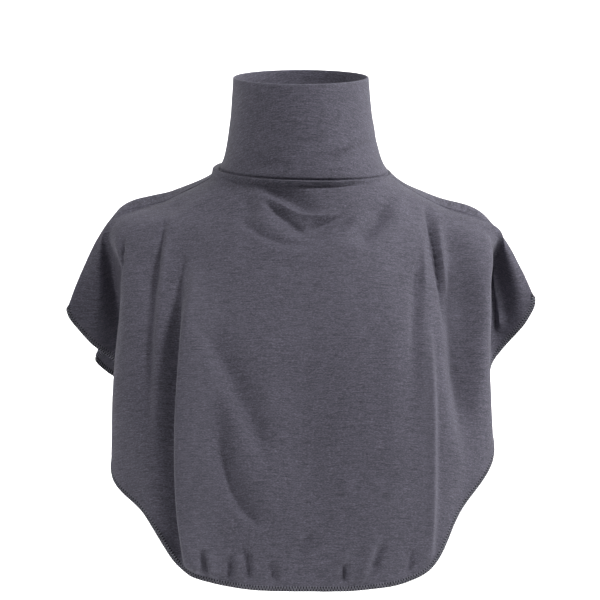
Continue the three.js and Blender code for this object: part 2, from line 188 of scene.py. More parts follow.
SECTIONS = [
    Section("front centre", 0, (0, 0), (0, -78, -36), (0, -86, -62), (0, -106, -140),
            (0, -111, -240), (0, -101, -333)),
    Section("front inner", 16, (12, 0), (25, -76, -36), (29, -84, -61), (32, -107, -139),
            (34, -114, -238), (42, -99, -332)),
    Section("bust", 31, (11, 0), (48, -67, -34), (60, -75, -57), (68, -102, -134),
            (71, -110, -230), (76, -93, -327)),
    Section("pleat", 44, (8, 1), (70, -54, -32), (91, -57, -52), (102, -86, -124),
            (103, -98, -214), (99, -88, -317)),
    Section("chest side", 56, (1, 2), (90, -39, -30), (119, -41, -49), (132, -71, -113),
            (134, -84, -194), (129.5, -79, -273)),
    Section("front crest", 66, (0, 0), (105, -23, -28), (150, -24, -49), (148.5, -51, -101),
            (155.5, -61, -172), (157, -60, -246)),
    Section("front turn", 72, (0, 0), (110, -15, -26), (157, -15, -48), (150.5, -16, -88),
            (150, -22, -146), (151, -24, -204)),
    Section("front valley", 76, (0, 0), (112, -10, -25), (160, -8, -46.5), (159.5, 8, -86),
            (155, 17, -124), (155, 16, -166)),
    Section("cap front", 80, (0, 0), (113, -6, -24), (164, -3, -44.5), (171, -3, -70),
            (174, 2, -105), (180, 7, -142)),
    Section("shoulder seam", 83, (0, 0), (113, -3, -23), (156, 0, -36.5), (174, 5, -57),
            (189, 8, -88), (201, 9, -117)),
    Section("cap back", 88, (-4, 12), (109, 10, -16), (153, 10, -30), (168, 16, -62),
            (177, 21, -98), (187, 24, -135)),
    Section("back valley", 96, (-10, 12), (107, 22, -16), (149, 22, -32), (159, 29, -74),
            (163, 33, -113), (170, 38, -152)),
    Section("back crest", 108, (-18, 12), (98, 38, -18), (134, 38, -35), (158, 47, -86),
            (171, 51, -126), (180, 51, -163)),
    Section("shoulder blade", 128, (-4, 4), (76, 56, -20), (102, 61, -37), (121, 77, -96),
            (127, 84, -150), (129, 84, -205)),
    Section("back inner", 154, (0, 0), (42, 71, -19), (54, 80, -38), (63, 96, -106),
            (66, 100, -172), (67, 98, -240)),
    Section("back centre", 180, (0, 0), (0, 76, -18), (0, 85, -38), (0, 100, -108),
            (0, 102, -180), (0, 99, -254)),
]

# Where the right side is too unlike the left to be its mirror image
RIGHT_SECTIONS = {section.name: section for section in (
    Section("front crest", 66, (0, 0), (105, -23, -31), (154, -24, -54), (155.5, -53, -96),
            (156, -62, -161), (158.5, -60, -231)),
    Section("front turn", 72, (0, 0), (110, -15, -29.5), (158, -15, -52.5), (153, -20, -87),
            (152, -18, -137), (156, -20, -190)),
    Section("front valley", 76, (0, 0), (112, -10, -28.5), (163, -8, -51), (163, 12, -78),
            (165, 16, -117), (166, 15, -157)),
    Section("cap front", 80, (0, 0), (113, -6, -27.5), (167, -3, -49), (173, -1, -66),
            (184, 2, -98), (191, 7, -124)),
    Section("shoulder seam", 83, (0, 0), (113, -3, -26.5), (158, 0, -42), (172, 5, -56.5),
            (187, 8, -82), (199, 9, -107)),
)}
SEAM_ROW = 9
BACK_ROW = len(SECTIONS) - 1
RING_SIZE = 2 * BACK_ROW


@dataclass(frozen=True)
class Fold:
    """A fold of the cloth along a bowed line, as seen from the front.

    Attributes:
        path: the places that it passes, across and up, evenly spaced from its start to its end.
        depth: how far it sinks into the cloth, less than nothing for a ridge.
        left: its width to the left of the line, read downwards.
        right: its width to the right.
        fade_in: share of the length over which the start dies away.
        fade_out: the same for the end.
        crease: 0 for a soft fold and 1 for a sharp one.
    """

    path: tuple[tuple[float, float], ...]
    depth: float
    left: float
    right: float
    fade_in: float = 0.3
    fade_out: float = 0.3
    crease: float = 0.0

    SAMPLES = 160
    REACH = 2.8

    def lift(self, points: Array) -> Array:
        """How far the fold lifts the cloth.

        Args:
            points: places on the cloth, the last axis x, y and z.

        Returns:
            Lift in millimetres at each place, less than nothing where the cloth sinks.
        """
        flat = points.reshape(-1, 3)[:, [0, 2]]
        share = np.linspace(0, 1, self.SAMPLES)
        line = catmull_rom(np.array(self.path, float), share, closed=False)
        tangent = np.gradient(line, axis=0)
        margin = self.REACH * max(self.left, self.right)
        near = np.all((flat > line.min(0) - margin) & (flat < line.max(0) + margin), axis=1)
        lift = np.zeros(len(flat))
        if near.any():
            offsets = flat[near][:, None, :] - line[None]
            squares = (offsets**2).sum(2)
            nearest = squares.argmin(1)
            away = np.sqrt(squares[np.arange(len(nearest)), nearest])
            offset = offsets[np.arange(len(nearest)), nearest]
            heading = tangent[nearest]
            is_right = offset[:, 0] * -heading[:, 1] + offset[:, 1] * heading[:, 0] > 0
            away = away / np.where(is_right, self.right, self.left)
            profile = (1 - self.crease) * np.exp(-(away**2)) + self.crease * np.exp(-2 * away)
            place = share[nearest]
            fade = ease(place / self.fade_in) * ease((1 - place) / self.fade_out)
            lift[near] = -self.depth * fade * profile
        return lift.reshape(points.shape[:-1])


# Main folds, which the CAD solids have too
FRONT_FOLDS = [
    Fold(((-92, -46), (-99, -84), (-101, -122), (-102.5, -160), (-105, -198), (-106, -236), (-105, -272),
          (-101, -306), (-95.5, -338)), 11, 9.5, 2.2, 0.35, 0.2, 0.15),
    Fold(((-87, -60), (-93, -130), (-97, -200), (-96, -270), (-88, -338)), -10, 4.5, 21, 0.3, 0.05),
    Fold(((-115, -40), (-121, -86), (-124.5, -135), (-125.5, -190), (-123, -250)),
         6, 11, 4.2, 0.25, 0.5, 0.1),
    Fold(((103, -28), (110, -73), (113, -135)), 4, 6, 8, 0.25, 0.6),
    Fold(((103, -100), (105, -155), (106, -210), (106, -270), (104, -325)), -2.6, 9, 3.6, 0.3, 0.1),
    Fold(((124, -42), (127, -96), (130, -146), (134, -196), (140, -245)), 13, 10, 15, 0.3, 0.4),
    Fold(((-69, -160), (-62, -235), (-25, -290)), 4.2, 8, 9, 0.4, 0.3),
    Fold(((12, -110), (12, -205), (18, -300)), 2.4, 26, 26, 0.4, 0.4),
    Fold(((-34, -19), (-20, -34), (3, -47), (24, -42), (42, -28)), 3.6, 4, 11, 0.3, 0.4),
    Fold(((42, -56), (60, -43), (70, -22)), 3, 8, 9, 0.3, 0.3),
]
BACK_FOLDS = [
    Fold(((-84, -50), (-92, -110), (-94, -200)), 3, 12, 12),
    Fold(((84, -50), (93, -110), (97, -200)), 3, 12, 12),
    Fold(((0, -60), (2, -140), (0, -245)), 2, 24, 24, 0.4, 0.4),
]

# Small folds, which the solids leave out
FRONT_CREASES = [
    # drapes under the neck seam
    Fold(((-40, -7), (-30, -10), (-21, -13.5), (-13, -18), (-4, -23), (5, -26), (15, -26), (26, -24)),
         7.5, 3.4, 10, 0.35, 0.45),
    Fold(((-28, -15), (-12, -24), (2, -30), (22, -31), (39, -27)), -3.2, 2.6, 2.6, 0.2, 0.35),
    Fold(((-36, -17), (-29, -22), (-21, -29), (-14, -34), (-8, -39), (0, -44), (9, -45)),
         3.4, 2.2, 3.4, 0.2, 0.3, 0.3),
    Fold(((-2, -43), (13, -40), (27, -35), (41, -27)), 2.6, 1.8, 3.0, 0.35, 0.4, 0.4),
    Fold(((24, -45), (36, -40), (46, -32)), 2.6, 2.0, 3.6, 0.35, 0.4, 0.5),
    Fold(((30, -54), (44, -50), (56, -45), (66, -36), (73, -26), (79, -16)), 3.0, 3.5, 6, 0.35, 0.3),
    Fold(((-65, -12), (-58, -26), (-48, -38), (-35, -47), (-20, -53), (-7, -55), (9, -55), (25, -52),
          (40, -46)), 3.2, 2.2, 5.5, 0.35, 0.4, 0.2),
    Fold(((-52, -10), (-47, -24), (-38, -37)), 2.4, 6, 9, 0.4, 0.4),
    Fold(((-34, -62), (-12, -72), (14, -74), (40, -67)), 1.4, 5, 6, 0.4, 0.4),
    # left side
    Fold(((-112.5, -36), (-117.5, -60), (-121.5, -86)), 3.0, 3.4, 1.8, 0.15, 0.7, 0.3),
    Fold(((-110, -50), (-114.5, -75), (-117, -104)), -1.6, 2, 4, 0.35, 0.4),
    Fold(((-147, -48), (-149.5, -62), (-150.5, -76), (-152, -94)), 4, 4, 1.8, 0.35, 0.4, 0.2),
    Fold(((-85, -68), (-88, -100), (-93, -145)), -1.8, 3, 5, 0.4, 0.4),
    Fold(((-83, -108), (-67, -142), (-50, -178), (-35, -213), (-20, -248)), 6, 6, 14, 0.35, 0.35),
    Fold(((-69, -190), (-67, -210), (-63, -228), (-59, -246), (-53, -261), (-44, -273), (-33, -281),
          (-23, -288)), 3.2, 3, 5, 0.3, 0.25, 0.3),
    Fold(((-40, -260), (-28, -275), (-14, -288)), 1.4, 2.4, 3, 0.4, 0.4),
    # right side
    Fold(((103.5, -25), (108.8, -43), (112, -60), (113.8, -77), (116, -104), (118, -140)),
         6.2, 2.3, 2.4, 0.15, 0.5, 0.2),
    Fold(((112, -40), (114.5, -60), (118.5, -77), (124, -105), (128, -130)), -3.0, 2.6, 3.6, 0.25, 0.5),
    Fold(((116, -32), (121, -48), (126, -68), (131, -96)), 3.4, 4, 10, 0.3, 0.6),
    Fold(((98, -64), (95, -84), (93, -110), (92, -150), (94, -190)), 3.2, 5, 4.5, 0.3, 0.4),
    Fold(((101, -44), (101, -72), (101, -102)), -1.4, 2.6, 2.6, 0.4, 0.4),
    Fold(((103, -112), (106, -196), (105, -308)), -1.4, 3.5, 2.6, 0.3, 0.1),
    Fold(((112, -128), (124, -153), (142, -184)), 1.4, 7, 8, 0.4, 0.4),
    Fold(((162, -74), (166, -92), (169, -114), (172, -140)), -4, 2.6, 3, 0.25, 0.15),
    # puckers over the hem
    Fold(((-81, -298), (-78, -312), (-74, -330)), 4.75, 2.6, 2.2, 0.4, 0.3),
    Fold(((-75, -298), (-73, -314), (-69, -330)), -3.24, 2.4, 3, 0.4, 0.3),
    Fold(((-58, -306), (-58, -318), (-59, -333)), 3.89, 2.4, 2.4, 0.4, 0.3),
    Fold(((-48, -294), (-43, -312), (-44, -333)), 4.32, 2.6, 2.2, 0.4, 0.3),
    Fold(((-53, -304), (-51, -318), (-51, -333)), -2.59, 2.4, 2.4, 0.4, 0.3),
    Fold(((-27, -308), (-23, -323), (-19, -335)), 3.89, 2.6, 2.4, 0.4, 0.3),
    Fold(((10, -284), (2, -300), (-9, -320)), 3.46, 4, 4, 0.4, 0.4),
    Fold(((33, -310), (34, -323), (33, -335)), 4.32, 2.4, 2.4, 0.4, 0.3),
    Fold(((26, -328), (33, -311), (43, -295)), -3.46, 3, 3, 0.3, 0.5),
    Fold(((47, -333), (54, -310), (63, -286)), -3.89, 3.5, 3.5, 0.15, 0.5),
    Fold(((71, -295), (63, -307), (57, -324)), 3.46, 3, 3, 0.4, 0.3),
    Fold(((92, -300), (89, -316), (88, -332)), 3.46, 2.6, 2.6, 0.4, 0.3),
]
COLLAR_CREASES = [
    Fold(((8, 8), (40, 16), (66, 30)), 1.8, 4, 6, 0.4, 0.3),
    Fold(((20, 18), (44, 27), (62, 42)), -1.5, 4, 5, 0.4, 0.3),
    Fold(((-10, 24), (20, 28), (58, 52)), 1.35, 5, 6, 0.4, 0.3),
    Fold(((-58, 16), (-30, 8), (0, 10)), 1.35, 5, 6, 0.4, 0.4),
]


def ease(share: Array) -> Array:
    """Smooth step from 0 to 1, flat outside that range."""
    share = np.clip(share, 0, 1)
    return share * share * (3 - 2 * share)


def bell(distance: Array, width: float) -> Array:
    """Bell curve of a distance, 1 at nothing."""
    return np.exp(-((distance / width) ** 2))


def unit(vectors: Array) -> Array:
    """Vectors brought to length 1."""
    return vectors / np.maximum(np.linalg.norm(vectors, axis=-1, keepdims=True), 1e-9)


def along(points: Array, axis: int) -> Array:
    """Distance walked over a grid of points, from its start.

    Args:
        points: the grid.
        axis: the way that is walked, 0 down it and 1 across it.

    Returns:
        The distance at each point.
    """
    steps = np.linalg.norm(np.diff(points, axis=axis), axis=-1)
    start = np.zeros_like(np.take(steps, [0], axis=axis))
    return np.concatenate([start, np.cumsum(steps, axis=axis)], axis=axis)


def resample(stops: Array, places: Array, points: Array) -> Array:
    """Points read at some stops.

    Args:
        stops: where to read.
        places: where the points are, measured the same way.
        points: one row for each place.

    Returns:
        One row for each stop.
    """
    return np.stack([np.interp(stops, places, points[:, axis]) for axis in range(3)], -1)


def without(vectors: Array, axis: Array) -> Array:
    """Vectors without their part along an axis."""
    return vectors - axis * (vectors * axis).sum(-1, keepdims=True)


def catmull_rom(points: Array, places: Array, closed: bool) -> Array:
    """Points on centripetal Catmull-Rom curves that run along the first axis.

    Args:
        points: control points, with any number of curves side by side.
        places: positions along the curves, from 0 to 1.
        closed: whether the curves return to their start.

    Returns:
        One row of points for each place.
    """
    count = len(points)
    spans = count if closed else count - 1
    scaled = np.asarray(places, float) * spans
    first = np.floor(scaled).astype(int)
    if closed:
        weight = scaled - first
        before, here, after, beyond = (points[(first + step) % count] for step in (-1, 0, 1, 2))
    else:
        first = np.minimum(first, spans - 1)
        weight = scaled - first
        ends = 2 * points[0] - points[1], 2 * points[-1] - points[-2]
        padded = np.concatenate([ends[0][None], points, ends[1][None]])
        before, here, after, beyond = (padded[first + step] for step in range(4))
    gaps = [
        np.linalg.norm(b - a, axis=-1, keepdims=True) ** 0.5
        for a, b in ((before, here), (here, after), (after, beyond))
    ]
    middle = np.where(gaps[1] < TINY, 1.0, gaps[1])
    front = np.where(gaps[0] < TINY, middle, gaps[0])
    back = np.where(gaps[2] < TINY, middle, gaps[2])
    straight = (after - here) / middle
    leave = ((here - before) / front - (after - before) / (front + middle) + straight) * middle
    arrive = (straight - (beyond - here) / (middle + back) + (beyond - after) / back) * middle
    weight = weight.reshape(-1, *([1] * (points.ndim - 1)))
    square = -3 * here + 3 * after - 2 * leave - arrive
    cube = 2 * here - 2 * after + leave + arrive
    return here + weight * (leave + weight * (square + weight * cube))


class Cape:
    """The smooth surface of the cape, from the ring of its sections."""

    STEP = 0.02
    CROWDING = 1.4
    CROWD_WIDTH = 0.45
    FINE_COLUMNS = 40
    FINE_ROWS = 1201

    def __init__(self) -> None:
        """Reads the sections into a ring: front, left side, back and right side."""
        lines = []
        for index in range(RING_SIZE):
            side = -1 if index <= BACK_ROW else 1
            section = SECTIONS[min(index, RING_SIZE - index)]
            own = RIGHT_SECTIONS.get(section.name) if side > 0 else None
            lines.append(own.line(side, mirrored=False) if own else section.line(side))
        self.levels = np.array(lines).transpose(1, 0, 2)

    def points(self, columns: Array, rows: Array) -> Array:
        """Points of the surface.

        Args:
            columns: positions round the ring, in sections from the front centre.
            rows: positions down the cape, in levels from the neck seam.

        Returns:
            A grid of points, rows by columns, in millimetres.
        """
        rings = catmull_rom(self.levels, np.asarray(rows) / LAST_LEVEL, closed=False)
        places = (np.asarray(columns) / RING_SIZE + 1) % 1
        return catmull_rom(rings.transpose(1, 0, 2), places, closed=True).transpose(1, 0, 2)

    def normals(self, columns: Array, rows: Array) -> Array:
        """Outward normals of the surface.

        Args:
            columns: positions round the ring.
            rows: positions down the cape.

        Returns:
            A grid of normals, like that of the points.
        """
        columns, rows = np.asarray(columns), np.asarray(rows)
        across = self.points(columns + self.STEP, rows) - self.points(columns - self.STEP, rows)
        lower = np.minimum(rows + self.STEP, LAST_LEVEL)
        upper = np.maximum(rows - self.STEP, 0)
        return unit(np.cross(across, self.points(columns, lower) - self.points(columns, upper)))

    def even_columns(self, start: float, end: float, count: int, row: float, crowded: Array = ()) -> Array:
        """Ring positions that lie evenly along one row.

        Args:
            start: first ring position.
            end: last ring position.
            count: how many.
            row: the row where they are even.
            crowded: ring positions with sharp folds, where they are closer together.

        Returns:
            The positions.
        """
        fine = np.linspace(start, end, self.FINE_COLUMNS * int(end - start) + 1)
        length = along(self.points(fine, np.array([row])), 1)[0]
        near = sum(bell(fine - place, self.CROWD_WIDTH) for place in crowded)
        crowding = np.ones(len(fine)) + self.CROWDING * near
        middle = (crowding[1:] + crowding[:-1]) / 2
        weighed = np.concatenate([[0], np.cumsum(np.diff(length) * middle)])
        return np.interp(np.linspace(0, weighed[-1], count), weighed, fine)

    def spaced_rows(self, distances: Array, column: float) -> Array:
        """Row positions at distances from the neck seam.

        Args:
            distances: the distances in millimetres, the last one at the hem.
            column: ring position where they are measured.

        Returns:
            The positions, in levels from the neck seam.
        """
        fine = np.linspace(0, LAST_LEVEL, self.FINE_ROWS)
        length = along(self.points(np.array([column]), fine), 0)[:, 0]
        rows = np.interp(np.asarray(distances), length, fine)
        rows[-1] = LAST_LEVEL
        return rows


def grid_normals(grid: Array) -> Array:
    """Outward normals of a grid of points.

    Args:
        grid: points, rows down the cape and columns to the left round it.

    Returns:
        A normal for each point.
    """
    across = np.gradient(grid, axis=1)
    down = np.gradient(grid, axis=0)
    return unit(np.cross(across, down))


def row_distances(length: float, fine: float, middle: float, coarse: float) -> Array:
    """Distances from the neck seam at which a panel has its rows.

    Args:
        length: how far down the panel goes.
        fine: step at the seam.
        middle: step under it, where the small drapes are.
        coarse: step lower down.

    Returns:
        The distances, from nothing to the length.
    """
    places = [0.0]
    while places[-1] < length:
        here = places[-1]
        step = fine + (middle - fine) * min(here / SEAM_ZONE, 1)
        step += (coarse - middle) * min(max((here - DRAPE_ZONE) / COARSENING, 0), 1)
        places.append(here + step)
    return np.array(places[:-1]) * (length / places[-2])


def wall_quads(rows: int, columns: int) -> Array:
    """Faces of a closed wall between two grids of the same size, the outer one first.

    Args:
        rows: rows of each grid.
        columns: columns of each grid.

    Returns:
        Four corners for each face.
    """
    count = rows * columns
    index = np.arange(count).reshape(rows, columns)
    a, b, c, d = index[:-1, :-1], index[:-1, 1:], index[1:, 1:], index[1:, :-1]
    outer = np.stack([a, b, c, d], -1).reshape(-1, 4)
    inner = np.stack([a, d, c, b], -1).reshape(-1, 4) + count
    rims = []
    for line in (index[0, ::-1], index[:, 0], index[-1], index[::-1, -1]):
        first, second = line[:-1], line[1:]
        rims.append(np.stack([first, second, second + count, first + count], -1))
    return np.concatenate([outer, inner, *rims])


def tube_quads(rings: int, size: int) -> Array:
    """Faces of a profile carried round a closed ring.

    Args:
        rings: how many profiles there are.
        size: points of each.

    Returns:
        Four corners for each face.
    """
    index = np.arange(rings * size).reshape(rings, size)
    onward = np.roll(index, -1, axis=0)
    return np.stack([index, np.roll(index, -1, 1), np.roll(onward, -1, 1), onward], -1).reshape(-1, 4)


def facing_out(points: Array, quads: Array) -> Array:
    """The faces of a closed mesh, turned round if they point inwards.

    Args:
        points: points of the mesh.
        quads: its faces.

    Returns:
        The faces, pointing outwards.
    """
    a, b, c, d = (points[quads[:, corner]] for corner in range(4))
    volume = sum(np.einsum("ij,ij->i", a, np.cross(*pair)).sum() for pair in ((b, c), (c, d)))
    return quads if volume > 0 else quads[:, ::-1]


def link(name: str, data: bpy.types.ID) -> bpy.types.Object:
    """Makes an object and links it to the scene.

    Args:
        name: name of the object.
        data: its mesh, lamp or camera.

    Returns:
        The object.
    """
    made = bpy.data.objects.new(name, data)
    bpy.context.scene.collection.objects.link(made)
    return made


def mesh_object(name: str, points: Array, quads: Array, cloth: Array, wear_and_highlight: Array) -> bpy.types.Object:
    """Makes a smooth mesh with the place on the cloth as its UV map.

    Args:
        name: name of the piece.
        points: points in millimetres.
        quads: faces.
        cloth: where each point lies on the flat cloth, in millimetres.
        wear_and_highlight: how much each point is paled, by wear at edges and by painted highlight on
            crests, from 0 to 1.

    Returns:
        The object, linked to the scene.
    """
    quads = facing_out(points, quads)
    mesh = bpy.data.meshes.new(name)
    mesh.from_pydata((points * METRES).tolist(), [], quads.tolist())
    loops = np.zeros(len(mesh.loops), int)
    mesh.loops.foreach_get("vertex_index", loops)
    layer = mesh.uv_layers.new(name="cloth")
    layer.data.foreach_set("uv", (cloth * METRES)[loops].astype(np.float32).ravel())
    # This layer carries the paling of worn edges and the painted highlight on crests to the material.
    wear_and_highlight_share = mesh.attributes.new("wear_and_highlight", "FLOAT", "POINT")
    wear_and_highlight_share.data.foreach_set("value", wear_and_highlight.astype(np.float32))
    mesh.shade_smooth()
    mesh.set_sharp_from_angle(angle=SHARP_ANGLE)
    return link(name, mesh)


def drape_noise(points: Array, across: float, up: float, amount: float) -> Array:
    """Slow unevenness of hanging cloth.

    Args:
        points: places on the cloth.
        across: size of the waves sideways.
        up: their size along the hang.
        amount: their height.

    Returns:
        Lift in millimetres at each place.
    """
    lift = []
    for place in points.reshape(-1, 3) / [across, across, up]:
        finer = noise.noise(Vector(place * FINE_WAVE_RATE + FINE_WAVE_OFFSET))
        lift.append(noise.noise(Vector(place)) + FINE_WAVE_SHARE * finer)
    return amount * np.array(lift).reshape(points.shape[:-1])


# Finishes


class Wiring:
    """Short hand for adding nodes to a tree and linking them."""

    def __init__(self, tree: bpy.types.NodeTree) -> None:
        """Keeps the tree."""
        self.tree = tree

    def plug(self, socket: bpy.types.NodeSocket, value: object) -> None:
        """Links a socket to another one, or gives it a value."""
        if isinstance(value, bpy.types.NodeSocket):
            self.tree.links.new(value, socket)
        else:
            socket.default_value = value

    def node(
        self, kind: str, inputs: dict[object, object] | None = None, **settings: object
    ) -> bpy.types.Node:
        """Adds a node.

        Args:
            kind: its type.
            inputs: values or links of its inputs, by name or index.
            settings: its properties.

        Returns:
            The node.
        """
        made = self.tree.nodes.new(kind)
        for key, value in settings.items():
            setattr(made, key, value)
        for key, value in (inputs or {}).items():
            self.plug(made.inputs[key], value)
        return made

    def math(self, operation: str, *values: object) -> bpy.types.NodeSocket:
        """A Math node of some values or links, and its result."""
        made = self.node("ShaderNodeMath", dict(enumerate(values)), operation=operation)
        return made.outputs[0]

    def vector_math(self, operation: str, *values: object) -> bpy.types.NodeSocket:
        """A Vector Math node of some values or links, and its vector."""
        made = self.node("ShaderNodeVectorMath", dict(enumerate(values)), operation=operation)
        return made.outputs[0]

    def scale(self, vector: object, factor: object) -> bpy.types.NodeSocket:
        """A vector or a colour times a factor."""
        made = self.node("ShaderNodeVectorMath", {0: vector, "Scale": factor}, operation="SCALE")
        return made.outputs[0]

    def map_range(self, value: object, *ends: float) -> bpy.types.NodeSocket:
        """A value moved from between the first two ends to between the last two."""
        return self.node("ShaderNodeMapRange", dict(enumerate((value, *ends)))).outputs[0]

    def noise(
        self, place: object, scale: float, detail: float, roughness: float = 0.5
    ) -> bpy.types.NodeSocket:
        """The value of a Noise Texture at a place."""
        inputs = {"Vector": place, "Scale": scale, "Detail": detail, "Roughness": roughness}
        return self.node("ShaderNodeTexNoise", inputs).outputs[0]

    def mix(self, share: object, first: object, second: object) -> bpy.types.NodeSocket:
        """A mix of two colours."""
        return self.node("ShaderNodeMix", {0: share, 6: first, 7: second}, data_type="RGBA").outputs[2]

    def bump(
        self, height: object, strength: float, distance: float, **under: object
    ) -> bpy.types.NodeSocket:
        """The normal of a Bump node, over another one where it is given as Normal."""
        inputs = {"Strength": strength, "Distance": distance, "Height": height, **under}
        return self.node("ShaderNodeBump", inputs).outputs[0]

    def group(self, tree: bpy.types.NodeTree, inputs: dict[str, object]) -> bpy.types.bpy_prop_collection:
        """Places a shader group, and gives its outputs."""
        return self.node("ShaderNodeGroup", inputs, node_tree=tree).outputs


class ShaderGroup:
    """A shader node group with named sockets. Each kind of group names them and wires its nodes."""

    NAME: str
    INPUTS: dict[str, float | None]
    OUTPUTS: tuple[str, ...]

    def __init__(self) -> None:
        """Builds the group. An input with no default value is a vector."""
        self.tree = bpy.data.node_groups.new(self.NAME, "ShaderNodeTree")
        face = self.tree.interface
        for label, value in self.INPUTS.items():
            kind = "NodeSocketVector" if value is None else "NodeSocketFloat"
            socket = face.new_socket(label, in_out="INPUT", socket_type=kind)
            if value is not None:
                socket.default_value = value
        for label in self.OUTPUTS:
            face.new_socket(label, in_out="OUTPUT", socket_type="NodeSocketFloat")
        wires = Wiring(self.tree)
        given = wires.node("NodeGroupInput").outputs
        wires.node("NodeGroupOutput", self.wire(wires, given))

    def wire(self, wires: Wiring, given: bpy.types.bpy_prop_collection) -> dict[str, bpy.types.NodeSocket]:
        """Adds the nodes of the group.

        Args:
            wires: wiring of the group's tree.
            given: what the group is given.

        Returns:
            What goes to each output.
        """
        raise NotImplementedError


class KnitGroup(ShaderGroup):
    """Shader group for the V-shaped loops of fine jersey."""

    NAME = "jersey_knit"
    INPUTS = {"Cloth": None, "Wale": 0.0006, "Course": 0.0005}
    OUTPUTS = ("Height",)
    SLANT = 1.2
    LOOP_SHARE = 0.25

    def wire(self, wires: Wiring, given: bpy.types.bpy_prop_collection) -> dict[str, bpy.types.NodeSocket]:
        """Adds the nodes: two slanting legs in each column of loops.

        Args:
            wires: wiring of the group's tree.
            given: what the group is given.

        Returns:
            What goes to each output.
        """
        across, up = wires.node("ShaderNodeSeparateXYZ", {0: given["Cloth"]}).outputs[:2]
        column = wires.math("FRACT", wires.math("DIVIDE", across, given["Wale"]))
        leg = wires.math("ABSOLUTE", wires.math("SUBTRACT", column, 0.5))
        course = wires.math("DIVIDE", up, given["Course"])
        row = wires.math("ADD", course, wires.math("MULTIPLY", leg, self.SLANT))
        loop = wires.math("SINE", wires.math("MULTIPLY", row, 2 * math.pi))
        rib = wires.math("SINE", wires.math("MULTIPLY", leg, 2 * math.pi))
        wave = wires.math("MULTIPLY_ADD", loop, self.LOOP_SHARE, 1 - self.LOOP_SHARE)
        return {"Height": wires.math("MULTIPLY", rib, wave)}


class HeatherGroup(ShaderGroup):
    """Shader group for the uneven yarn of the jersey: fine streaks along the courses, and slow clouds."""

    NAME = "yarn_heather"
    INPUTS = {"Place": None, "Streak": 0.5, "Cloud": 0.5}
    OUTPUTS = ("Shade", "Fuzz")
    LEAN = 0.5
    STREAKS = (110.0, 110.0, 1400.0)
    FLECKS = (600.0, 600.0, 1600.0)
    FLECK_SHARE = 2.6
    DARKEST_FLECK = -0.07

    def wire(self, wires: Wiring, given: bpy.types.bpy_prop_collection) -> dict[str, bpy.types.NodeSocket]:
        """Adds the nodes: long streaks, short flecks and clouds round a shade of 1.

        Args:
            wires: wiring of the group's tree.
            given: what the group is given.

        Returns:
            What goes to each output.
        """
        across, deep, up = wires.node("ShaderNodeSeparateXYZ", {0: given["Place"]}).outputs
        lean = wires.math("MULTIPLY", wires.math("ABSOLUTE", deep), self.LEAN)
        course = wires.math("SUBTRACT", up, lean)
        spot = wires.node("ShaderNodeCombineXYZ", {0: across, 1: deep, 2: course}).outputs[0]
        streak = wires.noise(wires.vector_math("MULTIPLY", spot, self.STREAKS), 1.0, 1.0, 0.6)
        fleck = wires.noise(wires.vector_math("MULTIPLY", spot, self.FLECKS), 1.0, 1.0, 0.8)
        cloud = wires.noise(given["Place"], 28.0, 3.0)
        streaks = wires.math("MULTIPLY", wires.math("SUBTRACT", streak, 0.5), given["Streak"])
        spots = wires.math("MAXIMUM", wires.math("SUBTRACT", fleck, 0.5), self.DARKEST_FLECK)
        flecks = wires.math("MULTIPLY", spots, given["Streak"])
        clouds = wires.math("MULTIPLY", wires.math("SUBTRACT", cloud, 0.5), given["Cloud"])
        yarn = wires.math("ADD", streaks, wires.math("MULTIPLY", flecks, self.FLECK_SHARE))
        shade = wires.math("ADD", yarn, clouds)
        return {"Shade": wires.math("ADD", shade, 1.0), "Fuzz": fleck}


class WearAndHighlightGroup(ShaderGroup):
    """Shader group that pales the cloth: edges worn by handling, and crests under a painted highlight."""

    NAME = "wear_and_crest_highlight"
    INPUTS = {"Place": None, "Rub": 0.0, "Amount": 0.3}
    OUTPUTS = ("Mask",)

    def wire(self, wires: Wiring, given: bpy.types.bpy_prop_collection) -> dict[str, bpy.types.NodeSocket]:
        """Adds the nodes: the wear and the painted crest highlight, broken up into patches.

        Args:
            wires: wiring of the group's tree.
            given: what the group is given.

        Returns:
            What goes to each output.
        """
        patchy = wires.map_range(wires.noise(given["Place"], 260.0, 3.0), 0.35, 0.65, 0.4, 1.0)
        wear_and_highlight_colour = wires.math("MULTIPLY", given["Rub"], patchy)
        return {"Mask": wires.math("MULTIPLY", wear_and_highlight_colour, given["Amount"])}


class Paint(Wiring):
    """A new material, with the inputs of its shader and the place on the piece."""

    def __init__(self, name: str) -> None:
        """Makes the material.

        Args:
            name: its name.
        """
        self.material = bpy.data.materials.new(name)
        self.material.use_nodes = True
        super().__init__(self.material.node_tree)
        self.shader = self.tree.nodes["Principled BSDF"].inputs
        self.place = self.node("ShaderNodeTexCoord").outputs["Object"]

    def shade(self, values: dict[str, object]) -> bpy.types.Material:
        """Sets inputs of the shader, and gives the material."""
        for label, value in values.items():
            self.plug(self.shader[label], value)
        return self.material


